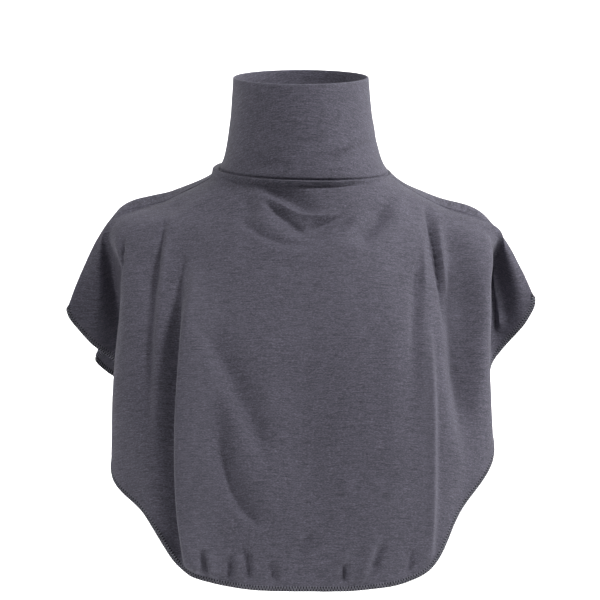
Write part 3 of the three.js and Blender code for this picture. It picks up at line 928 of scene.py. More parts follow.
@dataclass(frozen=True)
class ClothFinish:
    """A jersey finish.

    Attributes:
        name: name of the material.
        colour: base colour, linear.
        wear_and_highlight_colour: colour of worn edges and of the painted highlight on crests, linear.
        streak: strength of the streaks along the courses.
        cloud: strength of the slow unevenness.
        wale: width of a column of loops, in metres.
        course: height of a row of loops.
        roughness: mean roughness.
        knit: depth of the loops, in metres.
        sheen: weight of the sheen.
    """

    name: str
    colour: tuple[float, float, float]
    wear_and_highlight_colour: tuple[float, float, float]
    streak: float = 1.1
    cloud: float = 0.2
    wale: float = 0.00065
    course: float = 0.0005
    roughness: float = 0.82
    knit: float = 0.00012
    sheen: float = 0.04

    UNEVEN = 0.07
    # Colour scale from between the loops to on them: painted shade in the dips of the knit, painted light on
    # its loops.
    PAINTED_LOOP_SHADE = (0.86, 1.04)
    LOOP_BUMP = 0.5
    FLUFF_BUMP = 0.35
    FLUFF = 0.0003

    def build(self, knit: KnitGroup, heather: HeatherGroup, wear_and_highlight: WearAndHighlightGroup) -> bpy.types.Material:
        """Builds the material.

        Args:
            knit: group for the loops.
            heather: group for the yarn.
            wear_and_highlight: group for the wear and the painted crest highlight.

        Returns:
            The material.
        """
        paint = Paint(self.name)
        cloth = paint.node("ShaderNodeUVMap", uv_map="cloth").outputs[0]
        wear_and_highlight_share = paint.node("ShaderNodeAttribute", attribute_name="wear_and_highlight").outputs["Fac"]
        loops = paint.group(knit.tree, {"Cloth": cloth, "Wale": self.wale, "Course": self.course})
        yarn = paint.group(
            heather.tree, {"Place": paint.place, "Streak": self.streak, "Cloud": self.cloud}
        )
        # Paler where worn and where crests get a painted highlight.
        edges = paint.group(wear_and_highlight.tree, {"Place": paint.place, "Rub": wear_and_highlight_share})
        # The knit's colour follows its loops: painted shade between them, painted light on them.
        deep = paint.map_range(loops["Height"], 0.0, 1.0, *self.PAINTED_LOOP_SHADE)
        knitted = paint.scale(paint.scale(self.colour, yarn["Shade"]), deep)
        smooth, rough = self.roughness - self.UNEVEN, self.roughness + self.UNEVEN
        loop_bump = paint.bump(loops["Height"], self.LOOP_BUMP, self.knit)
        return paint.shade({
            "Base Color": paint.mix(edges["Mask"], knitted, (*self.wear_and_highlight_colour, 1.0)),
            "Roughness": paint.map_range(yarn["Fuzz"], *NOISE_RANGE, smooth, rough),
            "Normal": paint.bump(yarn["Fuzz"], self.FLUFF_BUMP, self.FLUFF, Normal=loop_bump),
            "Specular IOR Level": 0.25,
            "Sheen Weight": self.sheen,
            "Sheen Roughness": 0.4,
        })


@dataclass(frozen=True)
class ThreadFinish:
    """A spun thread, for the overlock stitches.

    Attributes:
        name: name of the material.
        colour: its colour, linear.
        deep: its colour between the fibres, a painted shade where they lie low.
        ply: bumps of the twist for each metre.
    """

    name: str
    colour: tuple[float, float, float]
    deep: tuple[float, float, float]
    ply: float = 2600.0

    PATCHES = 240.0
    FIBRE_SHARE = 0.7
    FIBRE_BUMP = 0.0001

    def build(self) -> bpy.types.Material:
        """Builds the material.

        Returns:
            The material.
        """
        paint = Paint(self.name)
        fibres = paint.noise(paint.place, self.ply, 2.0)
        fine = paint.math("MULTIPLY", fibres, self.FIBRE_SHARE)
        slow = paint.math("MULTIPLY", paint.noise(paint.place, self.PATCHES, 1.0), 1 - self.FIBRE_SHARE)
        blend = paint.math("ADD", fine, slow)
        # Darker where the fibre noise, which is also the bump, is low: painted shade between the fibres,
        # mixed with random patches of tone.
        mask = paint.map_range(blend, 0.4, 0.6, 0.0, 1.0)
        return paint.shade({
            "Base Color": paint.mix(mask, (*self.deep, 1.0), (*self.colour, 1.0)),
            "Roughness": paint.map_range(fibres, *NOISE_RANGE, 0.6, 0.8),
            "Normal": paint.bump(fibres, 0.5, self.FIBRE_BUMP),
            "Specular IOR Level": 0.35,
            "Sheen Weight": 0.15,
        })


class Finishes:
    """The materials of the neck cover."""

    # The second colour of each cloth is that of worn edges and of the painted highlight on crests.
    JERSEY = ClothFinish("jersey", (0.078, 0.074, 0.097), (0.12, 0.117, 0.145))
    COLLAR = ClothFinish("collar_jersey", (0.076, 0.072, 0.095), (0.12, 0.117, 0.145))
    SEAM = ClothFinish("inside_seam_jersey", (0.064, 0.062, 0.078), (0.1, 0.098, 0.12))
    # The hem edging's core is painted nearly black, a painted shade between the overlock stitches.
    PAINTED_SHADE_CORE = ClothFinish("hem_core_painted_shade", (0.013, 0.0125, 0.017), (0.02, 0.0195, 0.024))
    THREAD = ThreadFinish("overlock_thread", (0.17, 0.166, 0.205), (0.08, 0.078, 0.098))

    def __init__(self) -> None:
        """Builds the shader groups and the materials that use them."""
        groups = KnitGroup(), HeatherGroup(), WearAndHighlightGroup()
        self.jersey = self.JERSEY.build(*groups)
        self.collar = self.COLLAR.build(*groups)
        self.seam = self.SEAM.build(*groups)
        self.core = self.PAINTED_SHADE_CORE.build(*groups)
        self.thread = self.THREAD.build()


# Pieces


@dataclass
class Collar:
    """The doubled collar: outer face, folded rim, inner face and the allowance turned down under the cape.

    Each face is a list of rings: points, their place up the flat cloth, and how much they are rubbed.

    Attributes:
        cape: the surface that it is sewn to.
        wall: thickness of the two layers.
        rim_half_width: half width of the rim.
        rim_half_depth: half its depth.
        rim_shift: how far the rim is moved sideways.
        rim_forward: how far it leans forward.
        front_height: height of the rim at the front.
        back_height: height of the rim at the nape.
        foot_share: share of the taper that lies close to the foot.
        foot_height: share of the height in which it dies away.
        curve: how fast the rest of the taper comes, 1 for an even one.
        lap: how far the inner face stands in at its foot.
        allowance: seam allowance under the cape.
        allowance_wall: its thickness.
        roll: how far the foot rolls in at the seam.
        cloth_height: length of the outer face on the flat cloth.
        columns: mesh columns round the neck.
    """

    cape: Cape
    wall: float = 2.2
    rim_half_width: float = 56.8
    rim_half_depth: float = 58.0
    rim_shift: float = -0.5
    rim_forward: float = 12.0
    front_height: float = 74.0
    back_height: float = 86.0
    foot_share: float = 0.3
    foot_height: float = 0.08
    curve: float = 1.5
    lap: float = 0.4
    allowance: float = 6.0
    allowance_wall: float = 1.8
    roll: float = 1.5
    cloth_height: float = 80.0
    columns: int = 330

    DOWN_STEP = 0.3
    FOOT_ROWS = (0, 0.4, 0.8, 1.3, 2, 3)
    UPPER_START = 4.4
    UPPER_ROWS = 44
    RIM_ROWS = 9
    INNER_ROWS = 22

    # Puckers along the seam: height, length and start. Waves of the cloth: size across, size up and height
    PUCKERS = ((0.12, 3.1, 0), (0.1, 7.3, 1))
    DRAPE = (34, 26, 0.55)
    CALM_FOOT = 20
    CALM_RIM = 12
    ROLL_HEIGHT = 1.1

    # How much each part is rubbed
    FOOT_RUB = 0.5
    FOOT_RUB_HEIGHT = 3
    RIM_RUB = 0.2
    RIM_RUB_HEIGHT = 6
    FOLD_RUB = 0.8
    INNER_RUB = 0.1
    LAP_HEIGHT = 0.06

    # Where the inner face and the allowance start on the flat cloth
    INNER_START = 84
    FLAP_START = 165
    FLAP_STEPS = (2, 4)
    STITCH_INSET = 1.4

    def __post_init__(self) -> None:
        """Reads the neck seam, its directions and the height of the rim over it."""
        columns = self.cape.even_columns(0, RING_SIZE, self.columns + 1, 0)[:-1]
        self.seam = self.cape.points(columns, np.array([0.0]))[0]
        self.normal = self.cape.normals(columns, np.array([0.0]))[0]
        self.down = unit(self.cape.points(columns, np.array([self.DOWN_STEP]))[0] - self.seam)
        turn = np.arctan2(self.seam[:, 0] - NECK_SHIFT, -self.seam[:, 1])
        self.outwards = np.stack([np.sin(turn), -np.cos(turn), np.zeros_like(turn)], -1)
        self.around = along(np.concatenate([self.seam, self.seam[:1]])[None], 1)[0][:-1]
        self.height = self.ring(1.0, 0.0)[:, 2] - self.seam[:, 2]
        self.radius = self.wall / 2

    def taper(self, share: Array) -> Array:
        """How far the collar has closed in towards the rim.

        Args:
            share: share of its height.

        Returns:
            The share of the way, from 0 to 1.
        """
        foot = 1 - np.exp(-share / self.foot_height)
        slow = 1 - (1 - share) ** self.curve
        return slow + (foot - slow) * self.foot_share

    def ring(self, share: Array, inset: Array) -> Array:
        """One ring of the collar.

        Args:
            share: share of the height, for all of the ring or for each of its points.
            inset: how far in from the outer face.

        Returns:
            Points of the ring.
        """
        towards_back = (1 + self.outwards[:, 1]) / 2
        rim = np.stack([
            self.rim_shift + self.rim_half_width * self.outwards[:, 0],
            self.rim_half_depth * self.outwards[:, 1] - self.rim_forward,
            self.front_height + (self.back_height - self.front_height) * towards_back,
        ], -1)
        share = np.broadcast_to(share, self.columns)
        point = self.seam + (rim - self.seam) * self.taper(share)[:, None]
        point[:, 2] = self.seam[:, 2] + (rim[:, 2] - self.seam[:, 2]) * share
        return point - self.outwards * np.broadcast_to(inset, self.columns)[:, None]

    def outer_face(self) -> list[Ring]:
        """The outer face from the seam up, with its roll, its puckers and its creases.

        Returns:
            Its rings.
        """
        waves = [
            high * np.sin(self.around * 2 * math.pi / long + start) for high, long, start in self.PUCKERS
        ]
        roll = self.roll + sum(waves)
        upper = np.linspace(self.UPPER_START, self.cloth_height, self.UPPER_ROWS)
        rings = []
        for place in np.concatenate([self.FOOT_ROWS, upper]):
            share = place / (self.cloth_height + self.radius) * (1 - self.radius / self.height)
            points = self.ring(share, roll * bell(place, self.ROLL_HEIGHT))
            calm = min(place / self.CALM_FOOT, 1, (self.INNER_START - place) / self.CALM_RIM)
            creases = sum(fold.lift(points) for fold in COLLAR_CREASES) * (points[:, 1] < 0)
            lift = creases + drape_noise(points, *self.DRAPE) * calm
            wear_and_highlight = self.FOOT_RUB * bell(place, self.FOOT_RUB_HEIGHT)
            wear_and_highlight += self.RIM_RUB * bell(self.cloth_height - place, self.RIM_RUB_HEIGHT)
            rings.append((points + self.outwards * lift[:, None], place, wear_and_highlight))
        return rings

    def folded_rim(self) -> list[Ring]:
        """The rim, folded over from the outer face to the inner one.

        Returns:
            Its rings.
        """
        rings = []
        for angle in np.linspace(0, math.pi, self.RIM_ROWS)[1:-1]:
            share = 1 - self.radius * (1 - math.sin(angle)) / self.height
            points = self.ring(share, self.radius * (1 - math.cos(angle)))
            rings.append((points, self.cloth_height + self.radius * angle, self.FOLD_RUB))
        return rings

    def inner_face(self) -> list[Ring]:
        """The inner face from the rim down to the seam.

        Returns:
            Its rings.
        """
        rings = []
        for place in np.linspace(1, 0, self.INNER_ROWS):
            share = place * (1 - self.radius / self.height)
            points = self.ring(share, self.wall + self.lap * bell(place, self.LAP_HEIGHT))
            rings.append((points, self.INNER_START + self.cloth_height * (1 - place), self.INNER_RUB))
        return rings

    def flap(self) -> list[Ring]:
        """The seam allowance, down under the cape and back up.

        Returns:
            Its rings.
        """
        depth = CLOTH + GAP
        places = (*self.FLAP_STEPS, self.allowance)
        outline = [(below, depth + self.allowance_wall) for below in places]
        outline += [(below, depth) for below in (*places[::-1], 0)]
        rings = []
        for order, (below, inwards) in enumerate(outline):
            points = self.seam + self.down * below
            sunk = inwards + front_sink(points, np.full(self.columns, float(below)))
            rings.append((points - self.normal * sunk[:, None], self.FLAP_START + 2 * order, 0.0))
        return rings

    def build(self) -> bpy.types.Object:
        """Builds the collar.

        Returns:
            The piece.
        """
        rings = self.outer_face() + self.folded_rim() + self.inner_face() + self.flap()
        points = np.concatenate([ring[0] for ring in rings])
        cloth = [np.stack([self.around, np.full(self.columns, ring[1])], -1) for ring in rings]
        wear_and_highlight = np.repeat([ring[2] for ring in rings], self.columns)
        quads = tube_quads(len(rings), self.columns)
        return mesh_object("collar_cloth", points, quads, np.concatenate(cloth), wear_and_highlight)

    def allowance_line(self) -> Line:
        """The lower edge of the allowance, for its stitches.

        Returns:
            Points, directions out of the edge and directions inwards.
        """
        below = self.allowance - self.STITCH_INSET
        line = self.seam + self.down * below
        middle = CLOTH + GAP + self.allowance_wall / 2 + front_sink(line, np.full(self.columns, below))
        return line - self.normal * middle[:, None], self.down, -self.normal


@dataclass(frozen=True)
class SeamRoll:
    """How a panel rolls into a seam.

    Attributes:
        depth: how deep it goes.
        reach: how far from the seam.
        pucker: share of the depth that the puckers add and take away.
        length: length of a pucker.
    """

    depth: float
    reach: float
    pucker: float
    length: float

    PUCKER_REACH = 3

    def sink(self, distance: Array, walked: Array) -> Array:
        """How deep the cloth lies.

        Args:
            distance: distance from the seam.
            walked: place along the seam.

        Returns:
            Depth in millimetres.
        """
        wave = self.pucker * np.sin(walked * 2 * math.pi / self.length)
        return self.depth * bell(distance, self.reach) * (1 + wave * bell(distance, self.PUCKER_REACH))


@dataclass
class Panel:
    """The front or the back of the cape.

    Attributes:
        name: name of the piece.
        node: CAD node that it replaces.
        start: ring position of its first edge.
        end: ring position of its last edge.
        columns: mesh columns.
        spacing: row steps at the seam, under it and lower down.
        folds: its main folds and creases.
        middle: ring position of the column that sets the row steps.
        ridge: height of the ridge over the neck seam's allowance.
        crowded: ring positions with sharp folds, where the columns are closer together.
    """

    name: str
    node: str
    start: float
    end: float
    columns: int
    spacing: tuple[float, float, float]
    folds: list[Fold]
    middle: float
    ridge: float
    crowded: tuple[float, ...] = ()

    NECK_ROLL = SeamRoll(1.5, 0.9, 0.25, 3.3)
    SHOULDER_ROLL = SeamRoll(1.3, 0.8, 0.3, 4.1)
    SHOULDER_START = 8
    HEM_SHARE = 0.15
    HEM_REACH = 7.5
    TIP_ROUNDING = 4.0
    TIP_WIDTH = 5
    TIP_HEIGHT = 12
    EVEN_ROW = 4.4
    CENTRE_ROWS = 601
    BESIDE_SEAM = (0.02, 0.05, 0.09, 0.14, 0.2, 0.27, 0.35)

    # Waves of the cloth: size across, size down and height
    SLOW_WAVES = (30, 105, 0.9)
    WRINKLES = (13, 30, 0.22)
    WRINKLE_OFFSET = 300
    CALM_HEIGHT = 25

    # The ridge over the neck seam's allowance, and the bulge at its left end
    RIDGE_DROP = 1.9
    RIDGE_HALF_WIDTH = 1.3
    RIDGE_ENDS = 0.3
    RIDGE_REACH = 1.4
    RIDGE_FADE = 70
    BULGE = 3.2
    BULGE_HALF_WIDTH = 3.2
    BULGE_DROP = 4
    BULGE_START = 46
    BULGE_FADE = 26

    # The lower part of the shoulder seams, which is pressed flatter
    PRESSED_SHARE = 0.65
    PRESSED_START = 55
    PRESSED_FADE = 40

    # Painted highlight on the crests, whole where the cloth lifts this far, and its most; then the rub of
    # wear: how much and how far from the neck seam, the hem and the shoulder seams
    CREST_HIGHLIGHT_LIFT = 2.5
    CREST_HIGHLIGHT = 0.6
    EDGE_RUBS = ((0.5, 3), (0.3, 7), (0.3, 2))

    def build(self, cape: Cape) -> bpy.types.Object:
        """Builds the panel as a closed wall of cloth.

        Args:
            cape: the smooth surface.

        Returns:
            The piece. Its hem line stays in self.hem for the edging.
        """
        columns = cape.even_columns(self.start, self.end, self.columns, self.EVEN_ROW, self.crowded)
        beside = np.array(self.BESIDE_SEAM)
        columns = np.unique(np.concatenate([columns, self.start + beside, self.end - beside]))
        down = np.linspace(0, LAST_LEVEL, self.CENTRE_ROWS)
        length = along(cape.points(np.array([self.middle]), down), 0)[-1, 0]
        rows = cape.spaced_rows(row_distances(length, *self.spacing), self.middle)
        base = cape.points(columns, rows)
        normal = cape.normals(columns, rows)
        below = along(base, 0)
        inside = np.minimum(along(base, 1), along(base[:, ::-1], 1)[:, ::-1])
        above_hem = below[-1] - below
        rounding = self.TIP_ROUNDING * bell(inside, self.TIP_WIDTH) * bell(above_hem, self.TIP_HEIGHT)
        base = base - unit(np.gradient(base, axis=0)) * rounding[..., None]
        calm = self.HEM_SHARE + (1 - self.HEM_SHARE) * ease(above_hem / self.HEM_REACH)
        lift = sum(fold.lift(base) for fold in self.folds) * ease(below / FOLD_START) * calm
        lift = lift + self.unevenness(base, below) + self.seam_shape(base, below, inside)
        grid = base + normal * lift[..., None]
        self.draw_back(grid)
        facing = grid_normals(grid)
        facing[:, 0], facing[:, -1] = normal[:, 0], normal[:, -1]
        facing[0] = normal[0]
        inner = grid - facing * CLOTH
        self.hem = grid[-1], unit(base[-1] - base[-3]), normal[-1]
        self.edges = grid, facing
        across = along(base, 1)
        cloth = np.stack([across - across[:, [across.shape[1] // 2]], -below], -1)
        # Crests that lift out of the cloth are painted paler, a painted highlight; wear pales the cloth by
        # the neck seam, the hem and the shoulder seams.
        wear_and_highlight = np.clip(lift / self.CREST_HIGHLIGHT_LIFT, 0, self.CREST_HIGHLIGHT)
        for distance, (wear_and_highlight_share, width) in zip((below, above_hem, inside), self.EDGE_RUBS):
            wear_and_highlight = wear_and_highlight + wear_and_highlight_share * bell(distance, width)
        points = np.concatenate([grid.reshape(-1, 3), inner.reshape(-1, 3)])
        flat = np.concatenate([cloth.reshape(-1, 2)] * 2)
        wear_and_highlight_share = np.concatenate([wear_and_highlight.ravel(), np.zeros(wear_and_highlight.size)])
        return mesh_object(self.name, points, wall_quads(*grid.shape[:2]), flat, wear_and_highlight_share)

    def unevenness(self, base: Array, below: Array) -> Array:
        """Slow waves and small wrinkles of the hanging cloth.

        Args:
            base: points of the smooth panel.
            below: their distances from the neck seam.

        Returns:
            Lift in millimetres.
        """
        waves = drape_noise(base, *self.SLOW_WAVES)
        waves = waves + drape_noise(base + self.WRINKLE_OFFSET, *self.WRINKLES)
        return waves * ease(below / self.CALM_HEIGHT)

    def seam_shape(self, base: Array, below: Array, inside: Array) -> Array:
        """The cloth by its seams: it dips into them, and the neck seam's allowance lifts it below.

        Args:
            base: points of the smooth panel.
            below: their distances from the neck seam.
            inside: their distances from the nearer shoulder seam.

        Returns:
            Lift in millimetres.
        """
        across = base[..., 0]
        neck = self.NECK_ROLL.sink(below, across)
        reach = ease(self.RIDGE_REACH - np.abs(across) / self.RIDGE_FADE)
        middle = self.RIDGE_ENDS + (1 - self.RIDGE_ENDS) * reach
        ridge = self.ridge * bell(below - self.RIDGE_DROP, self.RIDGE_HALF_WIDTH) * middle
        at_left = ease((-across - self.BULGE_START) / self.BULGE_FADE)
        bulge = self.BULGE * bell(below - self.BULGE_DROP, self.BULGE_HALF_WIDTH) * at_left
        pressed = 1 - self.PRESSED_SHARE * ease((below - self.PRESSED_START) / self.PRESSED_FADE)
        shoulder = self.SHOULDER_ROLL.sink(inside, below) * pressed * ease(below / self.SHOULDER_START)
        return ridge - neck + bulge - seam_hollow(base, below) - shoulder

    def draw_back(self, grid: Array) -> None:
        """Leaves the clearance to the pieces next to the panel.

        Args:
            grid: points of the panel, which are moved.
        """
        grid[0] += unit(grid[1] - grid[0]) * GAP
        grid[:, 0] += unit(grid[:, 1] - grid[:, 0]) * (GAP / 2)
        grid[:, -1] += unit(grid[:, -2] - grid[:, -1]) * (GAP / 2)


def seam_hollow(points: Array, below: Array) -> Array:
    """How deep the hollow and the groove under the neck seam are, where the front's weight pulls it down.

    Args:
        points: places on the cape.
        below: their distances from the neck seam.

    Returns:
        Depth in millimetres at each place.
    """
    across = ease(HOLLOW_REACH - np.abs(points[..., 0] - HOLLOW_SHIFT) / HOLLOW_HALF_WIDTH)
    front = ease(-points[..., 1] / HOLLOW_HALF_WIDTH)
    sinking = 1 - np.exp(-np.maximum(below - HOLLOW_START, 0) / HOLLOW_DROP)
    hollow = HOLLOW_DEPTH * sinking * bell(below, HOLLOW_LENGTH)
    groove = GROOVE_DEPTH * bell(below - GROOVE_DROP, GROOVE_HALF_WIDTH)
    return across * front * (hollow + groove)


def front_sink(points: Array, below: Array) -> Array:
    """How far the folds and the hollow of the front take the cloth in, nothing at the back.

    Args:
        points: places on the cape.
        below: their distances from the neck seam.

    Returns:
        Depth in millimetres at each place.
    """
    lift = sum(fold.lift(points) for fold in FRONT_FOLDS + FRONT_CREASES) * ease(below / FOLD_START)
    return seam_hollow(points, below) - lift * (points[..., 1] < 0)


def strip_walk(grid: Array, distance: float) -> Array:
    """Places at a distance from the first column of a grid, walked along each row."""
    return np.stack([resample(distance, length, row) for length, row in zip(along(grid, 1), grid)])


@dataclass
class ShoulderSeam:
    """The allowance inside a shoulder seam: one pressed strip under the edges of the two panels.

    Attributes:
        name: name of the piece.
        node: CAD node that it replaces.
        half_width: allowance to each side.
        wall: thickness.
        start: how far below the neck seam it starts.
    """

    name: str
    node: str
    half_width: float = 5.0
    wall: float = 1.1
    start: float = 10.0

    ACROSS = 7
    BESIDE = 12
    STEP = 2.2
    END_MARGIN = 1.2
    FLATTENING = 0.35
    STITCH_INSET = 1.4

    def stitch_line(self, edge: Array, beside: Array, normal: Array) -> Line:
        """Where the stitches of a long edge lie.

        Args:
            edge: points of the edge.
            beside: points next to them on the strip.
            normal: directions out of the cape.

        Returns:
            Points, directions out of the edge and directions inwards.
        """
        side = unit(edge - beside)
        return edge - side * self.STITCH_INSET, side, -normal

    def build(self, before: tuple[Array, Array], after: tuple[Array, Array]) -> bpy.types.Object:
        """Builds the strip.

        Args:
            before: grid and normals of the panel before it on the ring.
            after: grid and normals of the panel after it.

        Returns:
            The piece. Its two long edges stay in self.edges for the stitches.
        """
        lengths = along(before[0][:, -1:], 0)[:, 0]
        other = along(after[0][:, :1], 0)[:, 0]
        stops = np.arange(self.start, min(lengths[-1], other[-1]) - self.END_MARGIN, self.STEP)
        beside = range(self.BESIDE)
        first = np.stack([resample(stops, lengths, before[0][:, -1 - column]) for column in beside], 1)
        second = np.stack([resample(stops, other, after[0][:, column]) for column in beside], 1)
        offsets = np.linspace(-self.half_width, self.half_width, self.ACROSS)
        lines = [strip_walk(first if offset < 0 else second, abs(offset)) for offset in offsets]
        middle = self.ACROSS // 2
        lines[middle] = (first[:, 0] + second[:, 0]) / 2
        normal = unit(resample(stops, lengths, before[1][:, -1]))[:, None]
        grid = np.stack(lines, 1)
        rise = ((grid - grid[:, [middle]]) * normal).sum(-1, keepdims=True)
        grid = grid - normal * rise * self.FLATTENING
        depth = CLOTH + 2 * GAP
        outer = grid - normal * depth
        inner = grid - normal * (depth + self.wall)
        across = np.broadcast_to(offsets, grid.shape[:2])
        cloth = np.stack([across, np.broadcast_to(-stops[:, None], grid.shape[:2])], -1).reshape(-1, 2)
        points = np.concatenate([outer.reshape(-1, 3), inner.reshape(-1, 3)])
        core = (outer + inner) / 2
        ends = ((0, 1), (-1, -2))
        self.edges = [self.stitch_line(core[:, edge], core[:, near], normal[:, 0]) for edge, near in ends]
        quads = wall_quads(*grid.shape[:2])
        return mesh_object(self.name, points, quads, np.concatenate([cloth] * 2), np.zeros(len(points)))


@dataclass
class HemEdging:
    """The rounded edge of the cloth under the overlock stitches.

    Attributes:
        width: its width across the cloth.
        thickness: its thickness.
        sides: sides of its profile.
        overhang: how far its middle lies below the hem.
    """

    width: float = 4.8
    thickness: float = 1.7
    sides: int = 10
    overhang: float = 1.75

    PINCH = 0.07
    SMOOTHING = (3, 12, 12)

    def line(self, panels: list[Panel]) -> Line:
        """The closed middle line of the edging, resampled evenly, with its directions.

        Args:
            panels: the panels in ring order.

        Returns:
            Points, directions away from the cloth, and normals.
        """
        hem, outwards, normal = (np.concatenate([panel.hem[part] for panel in panels]) for part in range(3))
        middle = hem + outwards * self.overhang - normal * CLOTH / 2
        closed = [np.concatenate([line, line[:1]]) for line in (middle, outwards, normal)]
        length = along(closed[0][None], 1)[0]
        stops = np.linspace(0, length[-1], 4 * round(length[-1] / STITCH_PITCH), endpoint=False)
        smooth = []
        for line, passes in zip(closed, self.SMOOTHING):
            even = resample(stops, length, line)
            for _ in range(passes):
                even = (np.roll(even, 1, 0) + 2 * even + np.roll(even, -1, 0)) / 4
            smooth.append(even)
        middle, across, up = smooth
        tangent = unit(np.roll(middle, -1, 0) - np.roll(middle, 1, 0))
        across = unit(without(across, tangent))
        return middle, across, unit(without(without(up, tangent), across))

    def build(self, line: Line) -> bpy.types.Object:
        """Builds the edging.

        Args:
            line: its middle line, with directions away from the cloth and normals.

        Returns:
            The piece.
        """
        middle, across, up = line
        count = len(middle)
        pinch = 1 + self.PINCH * np.cos(np.arange(count) * math.pi / 2)
        rings, cloth = [], []
        for turn in np.linspace(0, 2 * math.pi, self.sides, endpoint=False):
            reach = math.cos(turn) * self.width / 2
            rise = math.sin(turn) * self.thickness / 2
            rings.append(middle + across * reach + up * (rise * pinch)[:, None])
            cloth.append(np.stack([np.arange(count) * STITCH_PITCH / 4, np.full(count, turn)], -1))
        points = np.stack(rings, 1).reshape(-1, 3)
        flat = np.stack(cloth, 1).reshape(-1, 2)
        return mesh_object("hem_edge", points, tube_quads(count, self.sides), flat, np.zeros(len(points)))


@dataclass(frozen=True)
class Stitch:
    """Sizes of an overlock stitch, in metres.

    Attributes:
        length: its length along the edge.
        width: its width across the edge.
        rise: half its height.
        thread: radius of the thread.
    """

    length: float
    width: float
    rise: float
    thread: float


class StitchTree:
    """Geometry Nodes tree that sets one overlock stitch on each point of a line.

    The points carry the directions along the edge and up from the cloth. Each stitch is two legs over the
    top and one under the cloth, which meet at the edge.
    """

    INSIDE = Stitch(0.0023, 0.0028, 0.0006, 0.00015)
    NECK = Stitch(0.0023, 0.0028, 0.0009, 0.00015)
    HEM = Stitch(0.0023, 0.005, 0.00095, 0.00029)
    SMALLEST = (0.94, 0.93, 0.9)
    LARGEST = (1.06, 1.05, 1.12)
    SIZES = ("Stitch Length", "Stitch Width", "Stitch Rise", "Thread Radius")
    LEGS = (
        ((-0.5, -0.5, 0.5), (-0.3, -0.2, 1.3), (-0.1, 0.3, 1.2), (0.0, 0.5, 0.15)),
        ((0.0, 0.5, 0.15), (0.1, 0.3, 1.2), (0.3, -0.2, 1.3), (0.5, -0.5, 0.5)),
        ((-0.5, -0.5, -0.5), (-0.3, -0.2, -1.3), (-0.1, 0.3, -1.2), (0.0, 0.5, -0.15)),
    )

    def __init__(self) -> None:
        """Builds the tree."""
        self.tree = bpy.data.node_groups.new("overlock_stitches", "GeometryNodeTree")
        face = self.tree.interface
        kinds = {"Line": "Geometry", **dict.fromkeys(self.SIZES, "Float")}
        kinds.update({"Seed": "Int", "Thread": "Material"})
        for label, kind in kinds.items():
            face.new_socket(label, in_out="INPUT", socket_type="NodeSocket" + kind)
        face.new_socket("Stitches", in_out="OUTPUT", socket_type="NodeSocketGeometry")
        wires = Wiring(self.tree)
        given = wires.node("NodeGroupInput").outputs
        sizes = {axis: given[label] for axis, label in enumerate(self.SIZES[:3])}
        size = wires.node("ShaderNodeCombineXYZ", sizes).outputs[0]
        joined = wires.node("GeometryNodeJoinGeometry")
        for leg in self.LEGS:
            curve = wires.node("GeometryNodeCurvePrimitiveBezierSegment", {"Resolution": 3})
            for socket, place in zip(("Start", "Start Handle", "End Handle", "End"), leg):
                wires.plug(curve.inputs[socket], wires.vector_math("MULTIPLY", size, place))
            self.tree.links.new(curve.outputs[0], joined.inputs[0])
        radius = {"Resolution": 4, "Radius": given["Thread Radius"]}
        circle = wires.node("GeometryNodeCurvePrimitiveCircle", radius).outputs[0]
        profile = {0: joined.outputs[0], 1: circle, "Fill Caps": True}
        thread = wires.node("GeometryNodeCurveToMesh", profile).outputs[0]
        ahead, up = (
            wires.node("GeometryNodeInputNamedAttribute", {"Name": label}, data_type="FLOAT_VECTOR")
            for label in ("ahead", "up")
        )
        directions = {0: up.outputs[0], 1: ahead.outputs[0]}
        axes = {"primary_axis": "Z", "secondary_axis": "X"}
        turn = wires.node("FunctionNodeAxesToRotation", directions, **axes).outputs[0]
        span = {0: self.SMALLEST, 1: self.LARGEST, "Seed": given["Seed"]}
        uneven = wires.node("FunctionNodeRandomValue", span, data_type="FLOAT_VECTOR").outputs[0]
        spots = wires.node("GeometryNodeMeshToPoints", {0: given["Line"]}).outputs[0]
        placing = {"Points": spots, "Instance": thread, "Rotation": turn, "Scale": uneven}
        placed = wires.node("GeometryNodeInstanceOnPoints", placing).outputs[0]
        real = wires.node("GeometryNodeRealizeInstances", {0: placed}).outputs[0]
        painted = wires.node("GeometryNodeSetMaterial", {0: real, "Material": given["Thread"]}).outputs[0]
        wires.node("NodeGroupOutput", {0: painted})

    def sew(
        self, name: str, line: Line, stitch: Stitch, seed: int, thread: bpy.types.Material
    ) -> bpy.types.Object:
        """Sews a line of stitches and returns them as a plain mesh.

        Args:
            name: name of the piece.
            line: points, directions away from the cloth, and normals.
            stitch: sizes of a stitch.
            seed: seed of its unevenness.
            thread: material of the thread.

        Returns:
            The piece.
        """
        middle, across, up = line
        base = bpy.data.meshes.new(name + "_line")
        base.from_pydata((middle * METRES).tolist(), [], [])
        for label, values in (("ahead", np.cross(across, up)), ("up", up)):
            layer = base.attributes.new(label, "FLOAT_VECTOR", "POINT")
            layer.data.foreach_set("vector", values.astype(np.float32).ravel())
        carrier = link(name + "_line", base)
        modifier = carrier.modifiers.new("stitches", "NODES")
        modifier.node_group = self.tree
        keys = {
            item.name: item.identifier for item in self.tree.interface.items_tree if item.in_out == "INPUT"
        }
        sizes = zip(self.SIZES, (stitch.length, stitch.width, stitch.rise, stitch.thread))
        for label, value in (*sizes, ("Seed", seed), ("Thread", thread)):
            modifier[keys[label]] = value
        bpy.context.view_layer.update()
        evaluated = carrier.evaluated_get(bpy.context.evaluated_depsgraph_get())
        mesh = bpy.data.meshes.new_from_object(evaluated)
        mesh.name = name
        mesh.shade_smooth()
        bpy.data.objects.remove(carrier)
        return link(name, mesh)


